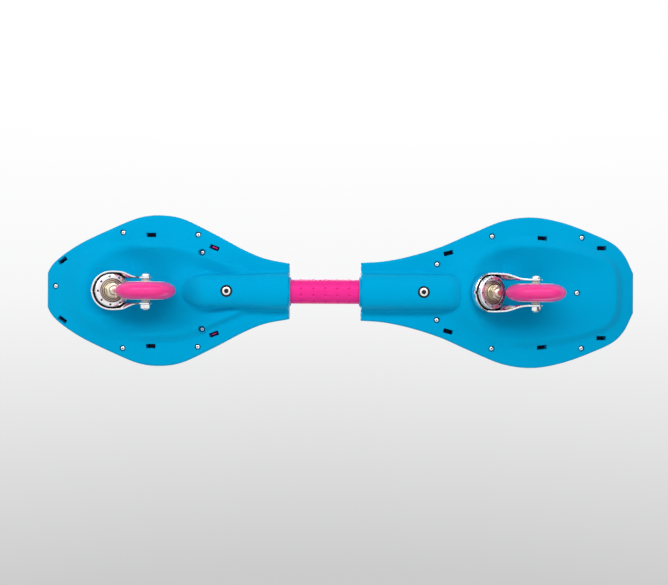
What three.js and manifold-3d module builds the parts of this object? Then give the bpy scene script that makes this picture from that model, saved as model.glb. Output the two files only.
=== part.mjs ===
// A caster board: two decks joined by a sprung torsion tube, each riding on one inclined swivel caster.
// Millimetres, +Z up, +X towards the nose, origin on the ground under the middle of the board.
import * as THREE from "three";
import { mergeVertices } from "three/addons/utils/BufferGeometryUtils.js";
import Module from "manifold-3d";

const wasm = await Module();
wasm.setup();

// Clearances shared by the whole board
const fit = 0.3; // left between neighbours
const cutOverrun = 30; // how far a cutter runs past the solid that it cuts

// Board, seen from above
const frontDeckLength = 283;
const rearDeckLength = 319;
const waistGap = 84; // between the decks, where the sleeve shows
const deckWidth = 175.4;
const axleSetback = 125; // from the nose or the tail to its axle
const noseFlat = 20; // half of the straight end of the nose
const tailFlat = 23;

// Wheel
const wheelRadius = 33;
const wheelWidth = 20;
const tyreShoulder = 1.5; // straight part of the tyre's sides
const wheelBearingRadius = 11;
const wheelBearingWidth = 7;
const hubRing = 3.4; // wall around each bearing
const hubHollow = 5.2; // from that wall to the tyre
const hubRim = 1.7;
const hubWebWidth = 9;
const hubBoreGap = 2.6;

// Axle
const axleRadius = 3;
const axleHeadRadius = 4.9;
const axleHeadHeight = 3.6;
const axleNutRadius = 5.6;
const axleNutHeight = 4.8;
const axleThreadEnd = 1.4; // thread past the nut
const axleKeyRadius = 2;
const axleKeyDepth = 1.3;
const bushWall = 0.45;
const bushFlange = 1;
const spacerWall = 2.1;

// Inclined caster
const casterTilt = THREE.MathUtils.degToRad(30);
const forkOffset = 27.3; // from the axle to the swivel axis
const wheelHeadroom = 19; // from the tyre to the deck pad, along the swivel axis
const forkSheet = 2.3;
const cheekGap = 3; // from the tyre's side to each cheek
const cheekEndRadius = 8;
const cupDepth = 6;
const cupChannel = 2; // between the cup's skirt and the bearing housing
const housingWall = 4.7;
const housingOverhang = 1;

// Swivel bearing and kingpin
const bearingRadius = 13.2;
const bearingWidth = 8;
const bearingHeadroom = 0.7;
const seatFlangeRadius = 12;
const seatFlangeHeight = 1.2;
const seatNeckRadius = 7.6;
const seatRunningGap = 0.5;
const crownHoleGap = 2;
const kingpinRadius = 5;
const kingpinHeadRadius = 7.8;
const kingpinHeadHeight = 4.4;
const kingpinHeadGap = 0.8;
const kingpinProud = 2.8; // thread past the nut
const kingpinEndRounding = 1.2;
const kingpinNutRadius = 8.6;
const kingpinNutHeight = 6;
const washerRadius = 10.2;
const washerHeight = 1.6;

// Deck pad that carries the caster
const padWeb = 9.5; // plastic under the kingpin's head
const padInset = 1; // of the pad from the edge of the fork's crown
const pocketGap = 4.5; // around the fork's cup
const pocketBacking = 1.5;

// Deck shell
const rimAbovePad = 1.6; // the flat rim's underside, above the middle of the pad
const deckWall = 3.2;
const deckSkin = 3.2;
const rimRounding = 2.4;
const topRounding = 1.6;
const humpDrop = 8; // how far the ring around the caster stands below the rim
const dishRise = 8; // how far the dish floor lies above the rim
const kickLength = 53; // of the upturned nose and tail
const kickRise = 7;
const waistBlockLength = 16;

// Traction platform
const platformHeadroom = 1.7; // above the kingpin's head
const platformThickness = 3.7;
const platformRecess = 2; // below the deck's lip
const platformGap = 0.4;
const platformEdgeWidth = 9;
const platformEdgeRise = 1.3;
const platformBevel = 1;

// Platform screws, the bosses they go through and the pegs they go into
const screwSeatRise = 4; // of the screws in the rim and the crest, above the rim
const dishScrewSeatRise = 2.4; // of the screw in the dish, above the dish there
const dishBossWall = 3.2;
const screwHeadRadius = 2.7;
const screwHeadHeight = 2.2;
const screwShankRadius = 1.5;
const screwHoleRadius = 1.9;
const screwTipGap = 0.6;
const counterboreRadius = 3.4;
const bossRadius = 4.6;
const pegRadius = 3.8;
const pegLength = 4.8;
const pegHoleRoof = 0.8;

// Snap tabs of the platform and the slots they show in
const slotLength = 10;
const slotWidth = 4.2;
const tabLength = 7.6;
const tabThickness = 2;
const tabTipRise = 1.4; // above the rim's underside

// Torsion joint between the decks
const tubeRadius = 11;
const tubeWall = 2;
const tubeEndGap = 2;
const sleeveWall = 2;
const sleeveInFrontShare = 0.26; // how far the sleeve goes in, of the socket's depth
const sleeveInRearShare = 0.215;
const plugLengthShare = 0.3;
const tubePastBush = 4;
const plugEndGap = 8.2;
const barSide = 8;
const barEndGap = 2;
const socketWall = 4.4;
const socketRoof = 2.7; // plastic between the socket's bore and the platform
const socketLip = 2.4; // the socket's collar stands out of the deck's end by this
const socketLipChamfer = 1.2;
const frontSocketNose = 33; // length of the rounded end
const rearSocketNose = 22;
const socketPadGap = 6;

// Tube bolts
const tubeBoltHeadRadius = 4.9;
const tubeBoltHeadHeight = 3.2;
const tubeBoltRadius = 3;
const tubeBoltWeb = 3.5; // plastic between the bolt's head and the bore
const tubeBoltTipGap = 1;
const tubeBoltRecessRadius = 6.2;
const tubeBoltKeyRadius = 2.9;
const tubeBoltKeyDepth = 1.9;

// Facets of round pieces
const coarse = 8;
const medium = 12;
const fine = 24;

// Places along the swivel axis, down from the deck pad
const crownTop = fit + seatFlangeHeight + seatRunningGap;
const crownUnderside = crownTop + forkSheet;
const bearingTop = crownUnderside + bearingHeadroom;
const bearingFace = bearingTop + bearingWidth;
const housingFace = bearingFace + housingOverhang;
const washerTop = bearingFace + fit;
const nutTop = washerTop + washerHeight + fit;
const kingpinEnd = nutTop + kingpinNutHeight + kingpinProud;
const forkDrop = wheelRadius + wheelHeadroom;

// Radii about the swivel axis
const housingInnerRadius = bearingRadius + fit;
const housingOuterRadius = housingInnerRadius + housingWall;
const crownRadius = housingOuterRadius + cupChannel + forkSheet;
const crownHoleRadius = seatNeckRadius + crownHoleGap;
const padRadius = crownRadius - padInset;
const pocketRadius = crownRadius + pocketGap;
const backingRadius = pocketRadius + pocketBacking;

// The whole board, and the middle of each pad from its axle
const boardLength = frontDeckLength + waistGap + rearDeckLength;
const padForward = forkDrop * Math.sin(casterTilt) + forkOffset * Math.cos(casterTilt);
const padHeight = wheelRadius + forkDrop * Math.cos(casterTilt) - forkOffset * Math.sin(casterTilt);

// Heights above the ground
const kingpinHeadSeat = padWeb + fit;
const kingpinTop =
  padHeight +
  (kingpinHeadSeat + kingpinHeadHeight) * Math.cos(casterTilt) +
  kingpinHeadRadius * Math.sin(casterTilt);
const rimHeight = padHeight + rimAbovePad;
const dishFloorHeight = rimHeight + dishRise;
const platformUnderside = kingpinTop + platformHeadroom;
const platformHeight = platformUnderside + platformThickness;
const deckTopHeight = platformHeight + platformRecess;
const sleeveRadius = tubeRadius + fit + sleeveWall;
const socketRadius = sleeveRadius + fit + socketWall;
const tubeAxisHeight = platformUnderside - socketRoof - fit - sleeveRadius;
const socketTopHeight = platformUnderside - fit;
const tubeBoltSeat = tubeAxisHeight - tubeRadius - fit - tubeBoltWeb;

// Across the wheel, from its middle
const cheekHalfGap = wheelWidth / 2 + cheekGap;
const bushBore = axleRadius + fit;
const bushSleeveRadius = bushBore + bushWall;
const wheelBearingBore = bushSleeveRadius + fit;
const bearingSeatRadius = wheelBearingRadius + fit;
const hubRadius = bearingSeatRadius + hubRing + hubHollow;

// A deck's curves, from its tip to its waist: [share of the deck's length, share of its half width]
const frontOutlineShares = [
  [0.012, 0.3], [0.037, 0.39], [0.127, 0.59], [0.258, 0.8], [0.39, 0.972], [0.47, 1],
  [0.554, 0.963], [0.685, 0.768], [0.816, 0.545], [0.9, 0.435], [1, 0.371],
];
const frontFootShares = [
  [0.067, 0], [0.067, 0.2], [0.115, 0.42], [0.226, 0.594], [0.36, 0.662], [0.484, 0.679],
  [0.576, 0.651], [0.731, 0.434], [0.82, 0.308], [0.887, 0.137], [0.901, 0],
];
const frontCrestShares = [
  [0.163, 0], [0.163, 0.14], [0.173, 0.25], [0.205, 0.354], [0.286, 0.485], [0.36, 0.546],
  [0.484, 0.574], [0.551, 0.551], [0.684, 0.422], [0.792, 0.251], [0.841, 0.09], [0.848, 0],
];
const rearOutlineShares = [
  [0.012, 0.35], [0.035, 0.5], [0.073, 0.64], [0.16, 0.791], [0.276, 0.941], [0.378, 1],
  [0.48, 0.954], [0.597, 0.784], [0.713, 0.6], [0.829, 0.47], [0.92, 0.405], [1, 0.385],
];
const rearFootShares = [
  [0.05, 0], [0.053, 0.251], [0.078, 0.434], [0.125, 0.537], [0.194, 0.616], [0.285, 0.696],
  [0.376, 0.736], [0.435, 0.725], [0.495, 0.674], [0.586, 0.548], [0.667, 0.422], [0.777, 0.16], [0.793, 0],
];
const rearCrestShares = [
  [0.078, 0], [0.0815, 0.205], [0.1, 0.354], [0.132, 0.434], [0.194, 0.508], [0.254, 0.554],
  [0.313, 0.594], [0.376, 0.616], [0.435, 0.594], [0.495, 0.525], [0.558, 0.4], [0.592, 0.256], [0.604, 0],
];

// A screw is [share of length, share of half width, what it goes in through].
// A pair of slots is [share of length, share of half width, turn in degrees].
const decks = {
  front: {
    tip: boardLength / 2,
    towardsWaist: -1,
    length: frontDeckLength,
    tipFlat: noseFlat,
    outlineShares: frontOutlineShares,
    footShares: frontFootShares,
    crestShares: frontCrestShares,
    centreShare: 0.452,
    socketNose: frontSocketNose,
    socketStop: wheelRadius,
    screwShares: {
      nose: [0.037, 0.052, "rim"],
      side_left: [0.319, 0.767, "rim"],
      side_right: [0.319, -0.767, "rim"],
      waist_left: [0.627, 0.743, "rim"],
      waist_right: [0.627, -0.743, "rim"],
      crest_left: [0.645, 0.507, "crest"],
      crest_right: [0.645, -0.507, "crest"],
    },
    slotShares: [[0.069, 0.392, -35], [0.435, 0.736, 0], [0.694, 0.572, 21]],
  },
  rear: {
    tip: -boardLength / 2,
    towardsWaist: 1,
    length: rearDeckLength,
    tipFlat: tailFlat,
    outlineShares: rearOutlineShares,
    footShares: rearFootShares,
    crestShares: rearCrestShares,
    centreShare: 0.339,
    socketNose: rearSocketNose,
    socketStop: padForward + pocketRadius * Math.cos(casterTilt) + socketPadGap,
    screwShares: {
      dish: [0.21, 0, "dish"],
      tail_left: [0.197, 0.734, "rim"],
      tail_right: [0.197, -0.734, "rim"],
      side_left: [0.524, 0.744, "rim"],
      side_right: [0.524, -0.744, "rim"],
      waist_left: [0.724, 0.369, "rim"],
      waist_right: [0.724, -0.369, "rim"],
    },
    slotShares: [[0.125, 0.596, 0], [0.342, 0.721, 5], [0.683, 0.519, -15]],
  },
};

const plastic = { roughness: 0.45, metalness: 0 };
const metal = { roughness: 0.22, metalness: 1 };
const finishes = {
  deck: { color: 0x009fdb, ...plastic },
  platform: { color: 0xec3090, ...plastic },
  sleeve: { color: 0xec3090, ...plastic },
  tyre: { color: 0xf0409c, roughness: 0.3, metalness: 0 },
  hub: { color: 0xf4f1f4, ...plastic },
  nylon: { color: 0x26282c, roughness: 0.6, metalness: 0 },
  chrome: { color: 0xdfe2e6, roughness: 0.1, metalness: 1 },
  zinc: { color: 0xc8ccd2, ...metal },
  steel: { color: 0x9a9ca0, ...metal },
};

const board = new THREE.Group();

// A closed geometry as a solid for joining and cutting.
function solidOf(geometry) {
  const bare = geometry.clone();
  bare.deleteAttribute("normal");
  bare.deleteAttribute("uv");
  const merged = mergeVertices(bare);
  const mesh = new wasm.Mesh({
    numProp: 3,
    vertProperties: merged.attributes.position.array,
    triVerts: new Uint32Array(merged.index.array),
  });
  mesh.merge();
  return new wasm.Manifold(mesh);
}

function geometryOf(solid) {
  const mesh = solid.getMesh();
  const geometry = new THREE.BufferGeometry();
  geometry.setAttribute("position", new THREE.BufferAttribute(mesh.vertProperties, mesh.numProp));
  geometry.setIndex(new THREE.BufferAttribute(mesh.triVerts, 1));
  const flat = geometry.toNonIndexed();
  flat.computeVertexNormals();
  return flat;
}

function addPiece(group, name, solid, finish) {
  const mesh = new THREE.Mesh(geometryOf(solid), new THREE.MeshStandardMaterial(finishes[finish]));
  mesh.name = name;
  group.add(mesh);
}

function joined(solids) {
  return solids.reduce((sum, next) => sum.add(next));
}

function cut(solid, cutters) {
  return cutters.reduce((left, cutter) => left.subtract(cutter), solid);
}

// The same solid, turned about X, then Y, then Z, and moved.
function placed(solid, [x, y, z], [turnX, turnY, turnZ] = [0, 0, 0]) {
  const matrix = new THREE.Matrix4().makeRotationFromEuler(new THREE.Euler(turnX, turnY, turnZ, "ZYX"));
  matrix.setPosition(x, y, z);
  return solidOf(geometryOf(solid).applyMatrix4(matrix));
}

const alongX = [0, Math.PI / 2, 0];
const alongY = [-Math.PI / 2, 0, 0];
const swivelTurn = [0, casterTilt, 0];

// A round solid about the Z axis, from a closed profile of [radius, height] points.
// A profile that touches the axis starts and ends on it.
function turned(profile, facets) {
  const loop = profile.map(([radius, height]) => new THREE.Vector2(radius, height));
  const onAxis = profile[0][0] === 0;
  if (THREE.ShapeUtils.area(loop) < 0) loop.reverse();
  if (!onAxis) loop.push(loop[0].clone());
  return solidOf(new THREE.LatheGeometry(loop, facets).rotateX(Math.PI / 2));
}

function cylinder(radius, low, high, facets) {
  return turned([[0, low], [radius, low], [radius, high], [0, high]], facets);
}

function ring(innerRadius, outerRadius, low, high, facets) {
  return turned([[innerRadius, low], [outerRadius, low], [outerRadius, high], [innerRadius, high]], facets);
}

const hexSides = 6;

function hexPrism(cornerRadius, low, high) {
  const geometry = new THREE.CylinderGeometry(cornerRadius, cornerRadius, high - low, hexSides);
  return solidOf(geometry.rotateX(Math.PI / 2).translate(0, 0, (low + high) / 2));
}

function box([lowX, highX], [lowY, highY], [lowZ, highZ]) {
  const geometry = new THREE.BoxGeometry(highX - lowX, highY - lowY, highZ - lowZ);
  return solidOf(geometry.translate((lowX + highX) / 2, (lowY + highY) / 2, (lowZ + highZ) / 2));
}

function between(a, b) {
  return [Math.min(a, b), Math.max(a, b)];
}

// A closed solid from loops of equal count, the first and the last filled to a middle point.
function loftedSolid(rings, firstMiddle, lastMiddle) {
  const count = rings[0].length;
  const points = [firstMiddle, ...rings.flat(), lastMiddle];
  const last = points.length - 1;
  const index = (level, i) => 1 + level * count + (i % count);
  const faces = [];
  for (let i = 0; i < count; i++) {
    faces.push(0, index(0, i + 1), index(0, i));
    faces.push(last, index(rings.length - 1, i), index(rings.length - 1, i + 1));
    for (let level = 0; level + 1 < rings.length; level++) {
      faces.push(index(level, i), index(level, i + 1), index(level + 1, i + 1));
      faces.push(index(level, i), index(level + 1, i + 1), index(level + 1, i));
    }
  }
  const geometry = new THREE.BufferGeometry();
  const coordinates = points.flatMap((point) => point.toArray());
  geometry.setAttribute("position", new THREE.Float32BufferAttribute(coordinates, 3));
  geometry.setIndex(faces);
  return solidOf(geometry);
}

// Places on a deck
function deckX(deck, share) {
  return deck.tip + deck.towardsWaist * share * deck.length;
}

function deckY(share) {
  return (share * deckWidth) / 2;
}

function deckCentre(deck) {
  return new THREE.Vector2(deckX(deck, deck.centreShare), 0);
}

function fromWaist(deck, distance) {
  return deckX(deck, 1) - deck.towardsWaist * distance;
}

function kickAt(x) {
  const past = Math.max(0, Math.abs(x) - (boardLength / 2 - kickLength)) / kickLength;
  return kickRise * past * past;
}

function raised(point, height) {
  return new THREE.Vector3(point.x, point.y, height + kickAt(point.x));
}

// Curves of a deck
const sideSteps = 16;
const crestSteps = 40;
const sideEasing = 1.25; // sets the points closer at the tip

function smoothCurve(deck, shares, steps, easing) {
  const points = shares.map(([along, across]) => new THREE.Vector3(deckX(deck, along), deckY(across), 0));
  const curve = new THREE.CatmullRomCurve3(points, false, "centripetal");
  const places = Array.from({ length: steps + 1 }, (_, i) => curve.getPointAt(Math.pow(i / steps, easing)));
  return places.map((point) => new THREE.Vector2(point.x, Math.max(point.y, 0)));
}

// The deck's outline as a loop, anticlockwise seen from above.
function outlineLoop(deck) {
  const tipCorner = [0, deck.tipFlat / (deckWidth / 2)];
  const side = smoothCurve(deck, [tipCorner, ...deck.outlineShares], sideSteps, sideEasing);
  const otherSide = side.map((point) => new THREE.Vector2(point.x, -point.y)).reverse();
  const tipMiddle = new THREE.Vector2(side[0].x, 0);
  const waistMiddle = new THREE.Vector2(side.at(-1).x, 0);
  const loop = [tipMiddle, ...side, waistMiddle, ...otherSide];
  return THREE.ShapeUtils.area(loop) > 0 ? loop : loop.reverse();
}

function insetLoop(loop, distance) {
  return loop.map((point, i) => {
    const along = loop[(i + 1) % loop.length].clone().sub(loop.at(i - 1)).normalize();
    return new THREE.Vector2(point.x - along.y * distance, point.y + along.x * distance);
  });
}

const roundOff = 1e-9;

// Where the ray from the centre through a point meets the curve, given as its half on the left.
function onCurve(halfCurve, centre, point) {
  const ray = point.clone().sub(centre).normalize();
  const side = ray.y < 0 ? -1 : 1;
  for (let i = 0; i + 1 < halfCurve.length; i++) {
    const start = new THREE.Vector2(halfCurve[i].x, halfCurve[i].y * side).sub(centre);
    const end = new THREE.Vector2(halfCurve[i + 1].x, halfCurve[i + 1].y * side).sub(centre);
    const step = end.clone().sub(start);
    const share = start.cross(ray) / ray.cross(step);
    const reach = start.cross(step) / ray.cross(step);
    const onStep = share >= -roundOff && share <= 1 + roundOff;
    if (onStep && reach > 0) return centre.clone().addScaledVector(ray, reach);
  }
  throw new Error("the curve doesn't go round the deck's centre");
}

// The dish is a bowl. Its rings are shares of the way out from its middle to its crest.
const dishRingShares = [0.4, 0.68, 0.86];
const outerSlopeShare = 0.5;

function dishHeight(share) {
  return rimHeight - humpDrop + (humpDrop + dishRise) * (1 - share * share);
}

// The dish's height at a share of the deck's length, on the middle line.
function dishHeightAt(deck, along) {
  const [[crestShare]] = deck.crestShares;
  return dishHeight((deck.centreShare - along) / (deck.centreShare - crestShare));
}

// The rings of the deck's underside, from inside the dish out to the foot of the hump around it.
function undersideRings(deck, loop, lift) {
  const centre = deckCentre(deck);
  const crestHalf = smoothCurve(deck, deck.crestShares, crestSteps, 1);
  const footHalf = smoothCurve(deck, deck.footShares, crestSteps, 1);
  const crest = loop.map((point) => onCurve(crestHalf, centre, point));
  const foot = loop.map((point) => onCurve(footHalf, centre, point));
  const dish = dishRingShares.map((share) =>
    crest.map((edge) => raised(centre.clone().lerp(edge, share), dishHeight(share) + lift)),
  );
  const crestRing = crest.map((point) => raised(point, rimHeight - humpDrop + lift));
  const slopeHeight = rimHeight - humpDrop * outerSlopeShare + lift;
  const slope = crest.map((point, i) => raised(point.clone().lerp(foot[i], outerSlopeShare), slopeHeight));
  const footRing = foot.map((point) => raised(point, rimHeight + lift));
  return { rings: [...dish, crestRing, slope, footRing], middle: raised(centre, dishFloorHeight + lift) };
}

function deckBody(deck) {
  const loop = outlineLoop(deck);
  const { rings, middle } = undersideRings(deck, loop, 0);
  const sides = [
    insetLoop(loop, rimRounding).map((point) => raised(point, rimHeight)),
    loop.map((point) => raised(point, rimHeight + rimRounding)),
    loop.map((point) => raised(point, deckTopHeight - topRounding)),
    insetLoop(loop, topRounding).map((point) => raised(point, deckTopHeight)),
  ];
  return loftedSolid([...rings, ...sides], middle, raised(deckCentre(deck), deckTopHeight));
}

// The room on the tip's side of the waist block, which stays solid.
function pastWaistBlock(deck, gap) {
  const limit = fromWaist(deck, waistBlockLength + gap);
  const far = deck.tip - deck.towardsWaist * cutOverrun;
  return box(between(limit, far), [-deckWidth, deckWidth], [0, deckTopHeight + cutOverrun]);
}

function deckCavity(deck) {
  const loop = insetLoop(outlineLoop(deck), deckWall);
  const { rings, middle } = undersideRings(deck, loop, deckSkin);
  const floorEdge = loop.map((point) => raised(point, rimHeight + deckSkin));
  const mouthHeight = deckTopHeight + cutOverrun;
  const mouth = loop.map((point) => raised(point, mouthHeight));
  const cavity = loftedSolid([...rings, floorEdge, mouth], middle, raised(deckCentre(deck), mouthHeight));
  return cavity.intersect(pastWaistBlock(deck, 0));
}

function padPlace(deck) {
  const axle = deck.tip + deck.towardsWaist * axleSetback;
  return [axle + padForward, 0, padHeight];
}

// The socket's depth leaves its rounded end clear of the caster.
function socketDepth(deck) {
  return deck.length - axleSetback - deck.socketStop - deck.socketNose;
}

function plugLength(deck) {
  return socketDepth(deck) * plugLengthShare;
}

function tubeBoltReach(deck) {
  return socketDepth(deck) - plugEndGap - plugLength(deck) / 2;
}

function underPlatform(solid) {
  return solid.intersect(box([-boardLength, boardLength], [-deckWidth, deckWidth], [0, socketTopHeight]));
}

// The boss that the caster's pad is on, and the plastic behind the pocket around it, inside the deck.
function casterPad(deck) {
  const upright = (radius) => placed(cylinder(radius, 0, cutOverrun, fine), padPlace(deck), swivelTurn);
  return [underPlatform(upright(padRadius)), underPlatform(upright(backingRadius)).intersect(deckBody(deck))];
}

// The cylinder that houses the torsion tube, its collar out of the deck's end and its rounded inner end.
function socketSolid(deck) {
  const roundSteps = 5;
  const straight = socketDepth(deck) + socketLip;
  const round = Array.from({ length: roundSteps }, (_, i) => {
    const angle = (i / roundSteps) * (Math.PI / 2);
    return [socketRadius * Math.cos(angle), straight + deck.socketNose * Math.sin(angle)];
  });
  const mouth = [[0, 0], [socketRadius - socketLipChamfer, 0], [socketRadius, socketLipChamfer]];
  const profile = [...mouth, ...round, [0, straight + deck.socketNose]];
  const place = [fromWaist(deck, -socketLip), 0, tubeAxisHeight];
  const inwards = [0, (-deck.towardsWaist * Math.PI) / 2, 0];
  return underPlatform(placed(turned(profile, fine), place, inwards));
}

function socketBore(deck, radius, depth) {
  const bore = cylinder(radius, ...between(fromWaist(deck, -cutOverrun), fromWaist(deck, depth)), fine);
  return placed(bore, [0, 0, tubeAxisHeight], alongX);
}

// Each socket is wide at its mouth, for the sleeve and for the rear deck's bush. Then it fits the tube.
function socketBores(deck) {
  const wideDepth = (deck === decks.rear ? rearBushEnd : sleeveInFront) + fit;
  return [
    socketBore(deck, sleeveRadius + fit, wideDepth),
    socketBore(deck, tubeRadius + fit, socketDepth(deck)),
  ];
}

// A screw's place, the height its head bears on and the top of its boss.
function screwPlace(deck, [along, across, through]) {
  const x = deckX(deck, along);
  const inDish = through === "dish";
  const rise = inDish ? dishHeightAt(deck, along) + dishScrewSeatRise : rimHeight + screwSeatRise;
  const seat = rise + kickAt(x);
  const bossTop = inDish ? seat + dishBossWall : platformUnderside - pegLength + kickAt(x);
  return { x, y: deckY(across), through, seat, bossTop };
}

function screwPlaces(deck) {
  return Object.values(deck.screwShares).map((shares) => screwPlace(deck, shares));
}

function slotPlaces(deck) {
  return deck.slotShares.flatMap(([along, across, degrees]) =>
    [1, -1].map((side) => ({
      x: deckX(deck, along),
      y: deckY(across) * side,
      turn: THREE.MathUtils.degToRad(degrees) * side,
    })),
  );
}

function screwBoss({ x, y, through, seat, bossTop }) {
  const low = through === "crest" ? rimHeight - humpDrop / 2 : seat - deckSkin / 2;
  return placed(cylinder(bossRadius, low, bossTop, coarse), [x, y, 0]);
}

function screwHoles({ x, y, seat, bossTop }) {
  return [
    placed(cylinder(counterboreRadius, seat - cutOverrun, seat, coarse), [x, y, 0]),
    placed(cylinder(screwHoleRadius, seat - deckSkin, bossTop + deckSkin, coarse), [x, y, 0]),
  ];
}

function slotCutter({ x, y, turn }) {
  const hole = box(
    [-slotLength / 2, slotLength / 2],
    [-slotWidth / 2, slotWidth / 2],
    [rimHeight - cutOverrun, rimHeight + deckSkin * 2 + kickAt(x)],
  );
  return placed(hole, [x, y, 0], [0, 0, turn]);
}

function casterCutters(deck) {
  const along = [
    cylinder(pocketRadius, -forkDrop, 0, fine),
    cylinder(kingpinRadius + fit, -cutOverrun, cutOverrun, medium),
    cylinder(kingpinHeadRadius + kingpinHeadGap, padWeb, padWeb + cutOverrun, medium),
  ];
  return along.map((cutter) => placed(cutter, padPlace(deck), swivelTurn));
}

function tubeBoltCutters(deck) {
  const place = [fromWaist(deck, tubeBoltReach(deck)), 0, 0];
  return [
    placed(cylinder(tubeBoltRecessRadius, tubeBoltSeat - cutOverrun, tubeBoltSeat, medium), place),
    placed(cylinder(tubeBoltRadius + fit, tubeBoltSeat - fit, tubeAxisHeight, medium), place),
  ];
}

function deckShell(deck) {
  const hollow = deckBody(deck).subtract(deckCavity(deck));
  const bosses = screwPlaces(deck).map(screwBoss);
  return cut(joined([hollow, socketSolid(deck), ...casterPad(deck), ...bosses]), [
    ...casterCutters(deck),
    ...tubeBoltCutters(deck),
    ...socketBores(deck),
    ...screwPlaces(deck).flatMap(screwHoles),
    ...slotPlaces(deck).map(slotCutter),
  ]);
}

// The traction platform: a plate inside the deck's lip, with pegs for the screws and snap tabs for the slots.
const platformFlatShare = 0.5;

function platformPlate(deck) {
  const loop = insetLoop(outlineLoop(deck), deckWall + platformGap);
  const centre = deckCentre(deck);
  const edgeHeight = platformHeight + platformEdgeRise;
  const inner = insetLoop(loop, platformEdgeWidth);
  const flat = inner.map((point) => centre.clone().lerp(point, platformFlatShare));
  const rings = [
    flat.map((point) => raised(point, platformUnderside)),
    inner.map((point) => raised(point, platformUnderside)),
    loop.map((point) => raised(point, platformUnderside)),
    loop.map((point) => raised(point, edgeHeight - platformBevel)),
    insetLoop(loop, platformBevel).map((point) => raised(point, edgeHeight)),
    inner.map((point) => raised(point, platformHeight)),
    flat.map((point) => raised(point, platformHeight)),
  ];
  const plate = loftedSolid(rings, raised(centre, platformUnderside), raised(centre, platformHeight));
  return plate.intersect(pastWaistBlock(deck, platformGap));
}

function pegHoleTop(x) {
  return platformHeight - pegHoleRoof + kickAt(x);
}

function platformPeg({ x, y, bossTop }) {
  return placed(cylinder(pegRadius, bossTop + fit, pegHoleTop(x), coarse), [x, y, 0]);
}

function pegHole({ x, y, bossTop }) {
  return placed(cylinder(screwHoleRadius, bossTop - fit, pegHoleTop(x), coarse), [x, y, 0]);
}

function platformTab({ x, y, turn }) {
  const tab = box(
    [-tabLength / 2, tabLength / 2],
    [-tabThickness / 2, tabThickness / 2],
    [rimHeight + tabTipRise + kickAt(x), pegHoleTop(x)],
  );
  return placed(tab, [x, y, 0], [0, 0, turn]);
}

function platform(deck) {
  const pegs = screwPlaces(deck).map(platformPeg);
  const tabs = slotPlaces(deck).map(platformTab);
  return cut(joined([platformPlate(deck), ...pegs, ...tabs]), screwPlaces(deck).map(pegHole));
}

const screwCrownShare = 0.7;

function platformScrew({ x, y, seat }) {
  const bearing = seat - fit;
  const head = bearing - screwHeadHeight;
  const tip = pegHoleTop(x) - screwTipGap;
  const profile = [
    [0, head], [screwHeadRadius * screwCrownShare, head], [screwHeadRadius, bearing - screwHeadHeight / 2],
    [screwHeadRadius, bearing], [screwShankRadius, bearing], [screwShankRadius, tip], [0, tip],
  ];
  return placed(turned(profile, coarse), [x, y, 0]);
}

// Cap screw from below into the plug inside the tube, stopping short of the torsion bar.
function tubeBolt(deck) {
  const seat = tubeBoltSeat - fit;
  const head = seat - tubeBoltHeadHeight;
  const tip = tubeAxisHeight - barSide / 2 - tubeBoltTipGap;
  const profile = [
    [0, head], [tubeBoltHeadRadius, head], [tubeBoltHeadRadius, seat],
    [tubeBoltRadius, seat], [tubeBoltRadius, tip], [0, tip],
  ];
  const key = hexPrism(tubeBoltKeyRadius, head - tubeBoltKeyDepth, head + tubeBoltKeyDepth);
  return placed(turned(profile, medium).subtract(key), [fromWaist(deck, tubeBoltReach(deck)), 0, 0]);
}

function addDeck(name, deck) {
  addPiece(board, `${name}_deck_shell`, deckShell(deck), "deck");
  addPiece(board, `${name}_platform`, platform(deck), "platform");
  for (const [place, shares] of Object.entries(deck.screwShares)) {
    addPiece(board, `${name}_screw_${place}`, platformScrew(screwPlace(deck, shares)), "zinc");
  }
  addPiece(board, `${name}_tube_bolt`, tubeBolt(deck), "zinc");
}

// The torsion joint. The tube is fixed in the front deck and turns in the rear deck's bush.
const sleeveInFront = socketDepth(decks.front) * sleeveInFrontShare;
const sleeveInRear = socketDepth(decks.rear) * sleeveInRearShare;
const tubeInFront = socketDepth(decks.front) - tubeEndGap;
const tubeInRear = tubeBoltReach(decks.rear) - plugLength(decks.rear) / 2 - tubeEndGap;
const rearBushStart = sleeveInRear + fit * 2;
const rearBushEnd = tubeInRear - tubePastBush;

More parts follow.
